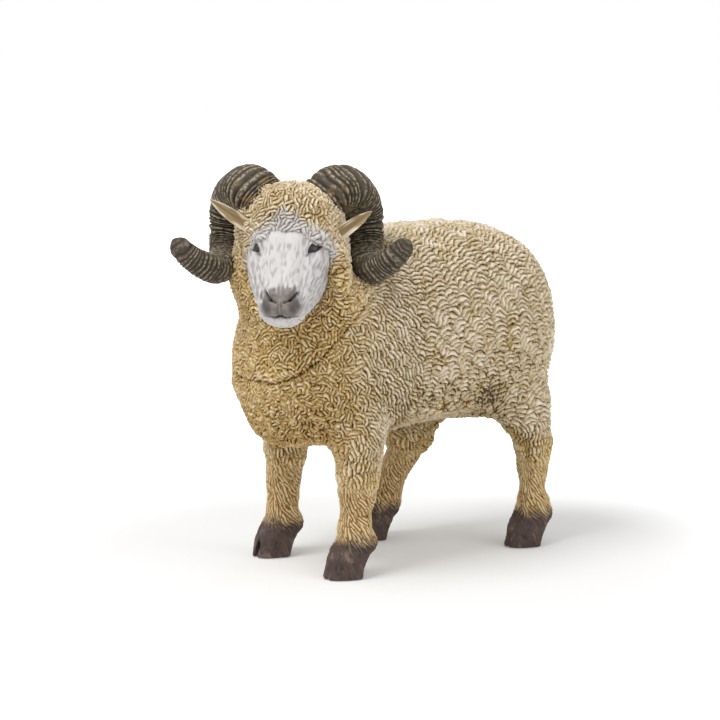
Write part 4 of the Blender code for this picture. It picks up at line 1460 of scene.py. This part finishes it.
# %% Paint for legs: acrylic, tan and brown
leg_coat, tree, (relief, woolly) = new_paint("acrylic_on_hair_and_hoof", 0.70, "relief", "woolly")
relief = roughened(tree, relief, 0.30)
place = add(tree, "TexCoord").outputs["Object"]
height = add(tree, "SeparateXYZ", None, Vector=place).outputs["Z"]
wander = add(tree, "Math", {"operation": "MULTIPLY_ADD"}, _0=grain(tree, 2.5), _1=4 * MM, _2=height)
tan = lay(tree, "#B58D53", "#C19D65", grain(tree, 3.0), 0.4, 0.7)
hair = lay(tree, "#4F3312", tan, relief, 0.05, 0.42)
hair = lay(tree, hair, "#EAD4A4", relief, 0.44, 0.76)
wool = lay(tree, "#6A4C22", "#BFA068", relief, 0.02, 0.36)
wool = lay(tree, wool, "#E2CDA2", relief, 0.36, 0.76)
hair = lay(tree, hair, wool, woolly)
hoof = lay(tree, "#443531", "#56443D", grain(tree, 1.2), 0.3, 0.7)
hoof = lay(tree, hoof, "#84705F", relief, 0.52, 0.95)
hoof = lay(tree, hoof, "#2E2321", relief, 0.35, 0.0)
top, bottom = (PASTERN_TOP + 2.6) * MM, (PASTERN_TOP - 0.6) * MM
coat = lay(tree, hair, hoof, wander.outputs[0], top, bottom)
put_on(legs, leg_coat, coat, 0.2, strength=0.7)

# %% [markdown]
# Horns are sprayed dark grey-brown. The dry brush leaves a stony grey on the ribs' crests, and a
# little ochre from the fleece strays onto the roots. The coat is thin and the crests are smooth, so
# the ribs have the faint silky light of worn horn. The ears get one thin coat, tan to cream over
# their hair, that dries nearly as matt as the wool, with painted shade: a darker brown deep in the
# cupped hollow.

# %% Paint for horns: acrylic, dark with pale ribs
horn_coat, tree, (relief, along) = new_paint("acrylic_on_horn", 0.62, "relief", "along")
base = lay(tree, "#3E3326", "#504332", grain(tree, 2.0), 0.35, 0.65)
base = lay(tree, base, "#1C150F", relief, 0.55, 0.10)
skip = (grain(tree, 0.6, 5.0), 0.40, 0.56)
brushed = dragged(tree, skip, (relief, 0.68, 1.0), (along, 1.10, 0.80))
coat = lay(tree, base, "#A3987F", brushed)
stray = dragged(tree, (grain(tree, 1.6), 0.52, 0.70), (along, 0.16, 0.0))
coat = lay(tree, coat, "#9A7B4A", stray)
put_on(horns, horn_coat, coat, 0.25)

# %% Paint for ears: acrylic, tan and cream, with painted shade in the hollow
ear_coat, tree, (relief, hollow) = new_paint("acrylic_on_ear", 0.72, "relief", "hollow")
skin = lay(tree, "#A08A64", "#E4D8BC", relief, 0.15, 0.60)
# Darker brown deep in the hollow: painted shade.
skin = lay(tree, skin, "#8F7650", hollow, 0.72, 1.05)
put_on(ears, ear_coat, skin, 0.3, detail=3.0, strength=0.6)

# %% [markdown]
# The face is white, with painted shade in lilac grey round the eyes, along its edge under the wool
# and under the chin, and a little grey towards its sides, where it turns from the light. A dark
# tear line runs down from each eye. The muzzle is a smoky grey, darker on the lip beside the
# nostrils, with darker nostrils and mouth. Each is a soft spray on smooth plastic, so light slides
# over it evenly.
# The eyes are dark grey in gloss acrylic, the smoothest coat on the toy, for a small live glint.

# %% Paint for the face and eyes
face_coat, tree, (relief, rim, soot, muzzle, pit, slit) = new_paint(
    "acrylic_on_face", 0.66, "relief", "rim", "soot", "muzzle", "pit", "slit"
)
# Grey towards the face's sides, where the relief falls, is painted shade.
white = lay(tree, "#ADA6A8", "#DEDBD8", relief, 0.15, 0.75)
# Lilac grey along the edge under the wool and under the chin: painted shade.
white = lay(tree, white, "#BDB3B8", rim)
grey = lay(tree, "#7C746F", "#918983", grain(tree, 1.0), 0.35, 0.65)
# The muzzle's darker grey on the upper lip beside the nostrils.
grey = lay(tree, grey, "#5A524E", soot, 0.1, 0.9)
coat = lay(tree, white, grey, muzzle)
# Darker round each eye: painted shade, with a dark tear line below the inner corner.
coat = lay(tree, coat, "#6F686D", pit, 0.35, 0.95)
coat = lay(tree, coat, "#3C3635", slit, 0.35, 0.85)
put_on([face], face_coat, coat, 0.25, detail=3.0, depth_mm=0.03, strength=0.6)

eye_coat, tree, _ = new_paint("gloss_acrylic_on_eye", 0.38)
iris = lay(tree, "#1C1D1E", "#363739", grain(tree, 0.5), 0.4, 0.6)
put_on(eyes, eye_coat, iris)

# %% [markdown]
# ## Floor, light and camera
#
# The photograph is a catalogue picture: a white sweep, one broad soft light from the upper left,
# and a faint shadow. The floor glows for the camera alone, through Is Camera Ray, and the world is
# full white only to the camera and in reflections. So the background is clean without more light on
# the ram, and the floor keeps its shadow.

# %% Floor and world
FLOOR_SIZE = 3.0
NEAR_RAM = 0.05
FAR_FROM_RAM = 0.16
GLOW_NEAR_RAM = 0.14
WORLD_LIGHT = 0.55

bpy.ops.mesh.primitive_plane_add(size=FLOOR_SIZE)
floor = bpy.context.object
floor.name = "floor"
floor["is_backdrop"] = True
sweep = bpy.data.materials.new("white_paper_sweep")
sweep.use_nodes = True
tree = sweep.node_tree
tree.nodes.clear()
seen_by_camera = add(tree, "LightPath").outputs["Is Camera Ray"]
place = add(tree, "TexCoord").outputs["Object"]
away = add(tree, "VectorMath", {"operation": "LENGTH"}, _0=place).outputs["Value"]
glow = add(
    tree, "MapRange", SOFTLY, Value=away,
    From_Min=NEAR_RAM, From_Max=FAR_FROM_RAM, To_Min=GLOW_NEAR_RAM, To_Max=1.0,
).outputs["Result"]
glow = add(tree, "Math", {"operation": "MULTIPLY"}, _0=glow, _1=seen_by_camera).outputs[0]
paper = add(tree, "BsdfDiffuse", None, Color=colour("#F4F4F4"))
lift = add(tree, "Emission", None, Color=colour("#FFFFFF"), Strength=glow)
both = add(tree, "AddShader", None, _0=paper.outputs[0], _1=lift.outputs[0])
add(tree, "OutputMaterial", None, Surface=both.outputs[0])
floor.data.materials.append(sweep)

world = bpy.data.worlds.new("studio")
bpy.context.scene.world = world
world.use_nodes = True
tree = world.node_tree
tree.nodes.clear()
seen = add(tree, "LightPath")
camera_ray, glossy_ray = seen.outputs["Is Camera Ray"], seen.outputs["Is Glossy Ray"]
direct = add(tree, "Math", {"operation": "MAXIMUM"}, _0=camera_ray, _1=glossy_ray).outputs[0]
strength = add(tree, "MapRange", None, Value=direct, To_Min=WORLD_LIGHT, To_Max=1.0)
sky = add(tree, "Background", None, Color=colour("#FFFFFF"), Strength=strength.outputs["Result"])
add(tree, "OutputWorld", None, Surface=sky.outputs[0])
print(f"white floor {FLOOR_SIZE} m wide, world light {WORLD_LIGHT} on the ram")

# %% [markdown]
# The camera stands 450 mm away, 51.3 degrees round from the chest to the ram's left and 8 degrees
# up. These numbers make the four soles, the body and the horns fall where the photograph has them.

# %% Camera
CAMERA_TURN = math.radians(51.3)
CAMERA_RISE = math.radians(8.0)
CAMERA_DISTANCE = 450.0
LENS_MM = 110.25
AIM = Vector((-2.947, 8.733, 40.0))
AIM_ASIDE = -8.98
AIM_UP = -0.61

level_back = Vector((math.sin(CAMERA_TURN), -math.cos(CAMERA_TURN), 0))
back = level_back * math.cos(CAMERA_RISE) + Vector((0, 0, math.sin(CAMERA_RISE)))
right = Vector((math.cos(CAMERA_TURN), math.sin(CAMERA_TURN), 0))
upward = back.cross(right)
lens = bpy.data.cameras.new("camera")
lens.lens = LENS_MM
lens.sensor_width = 36.0
lens.clip_start = 0.01
camera = bpy.data.objects.new("camera", lens)
bpy.context.scene.collection.objects.link(camera)
camera.location = (AIM + back * CAMERA_DISTANCE) * MM
target = (AIM + right * AIM_ASIDE + upward * AIM_UP) * MM
camera.rotation_mode = "QUATERNION"
camera.rotation_quaternion = (target - camera.location).to_track_quat("-Z", "Y")
bpy.context.scene.camera = camera
print("camera at", [round(1000 * part) for part in camera.location], "mm")

# %% [markdown]
# A lamp's power follows from its distance. At twice the distance it needs four times the power for
# the same light, so the function below asks for brightness on the ram and works the watts out.


# %% Lamps
def softbox(name, direction, distance, size, brightness):
    """A square lamp that looks at the ram. Brightness 1 alone would show a colour as written."""
    data = bpy.data.lights.new(name, "AREA")
    data.size = size
    data.energy = brightness * math.pi**2 * distance**2
    lamp = bpy.data.objects.new(name, data)
    bpy.context.scene.collection.objects.link(lamp)
    middle = AIM * MM
    lamp.location = middle + direction.normalized() * distance
    lamp.rotation_mode = "QUATERNION"
    lamp.rotation_quaternion = (middle - lamp.location).to_track_quat("-Z", "Y")
    print(f"{name}: {data.energy:.2f} W from {distance} m")


softbox("key", right * -0.55 + back * 0.55 + upward * 1.0, 0.7, 0.35, 0.50)
softbox("fill", right * 0.9 + back * 0.6 + upward * 0.45, 0.8, 0.5, 0.16)

scene = bpy.context.scene
scene.view_settings.view_transform = "Standard"

# %% [markdown]
# ## Check the size
#
# The carved ram must fill the same box as its plain mouldings, give or take the wool. Both boxes
# are measured, and how far the carved box reaches past the plain one is printed in millimetres.

# %% Compare the two boxes
low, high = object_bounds()
boxes = {
    "cad": [list(cad_low), list(cad_high)],
    "visual": [list(low), list(high)],
}
grown = [round((v - c) * 1000, 2) for c, v in zip(boxes["cad"][0] + boxes["cad"][1],
                                                  boxes["visual"][0] + boxes["visual"][1])]
print("visual box against CAD box, mm:", grown)
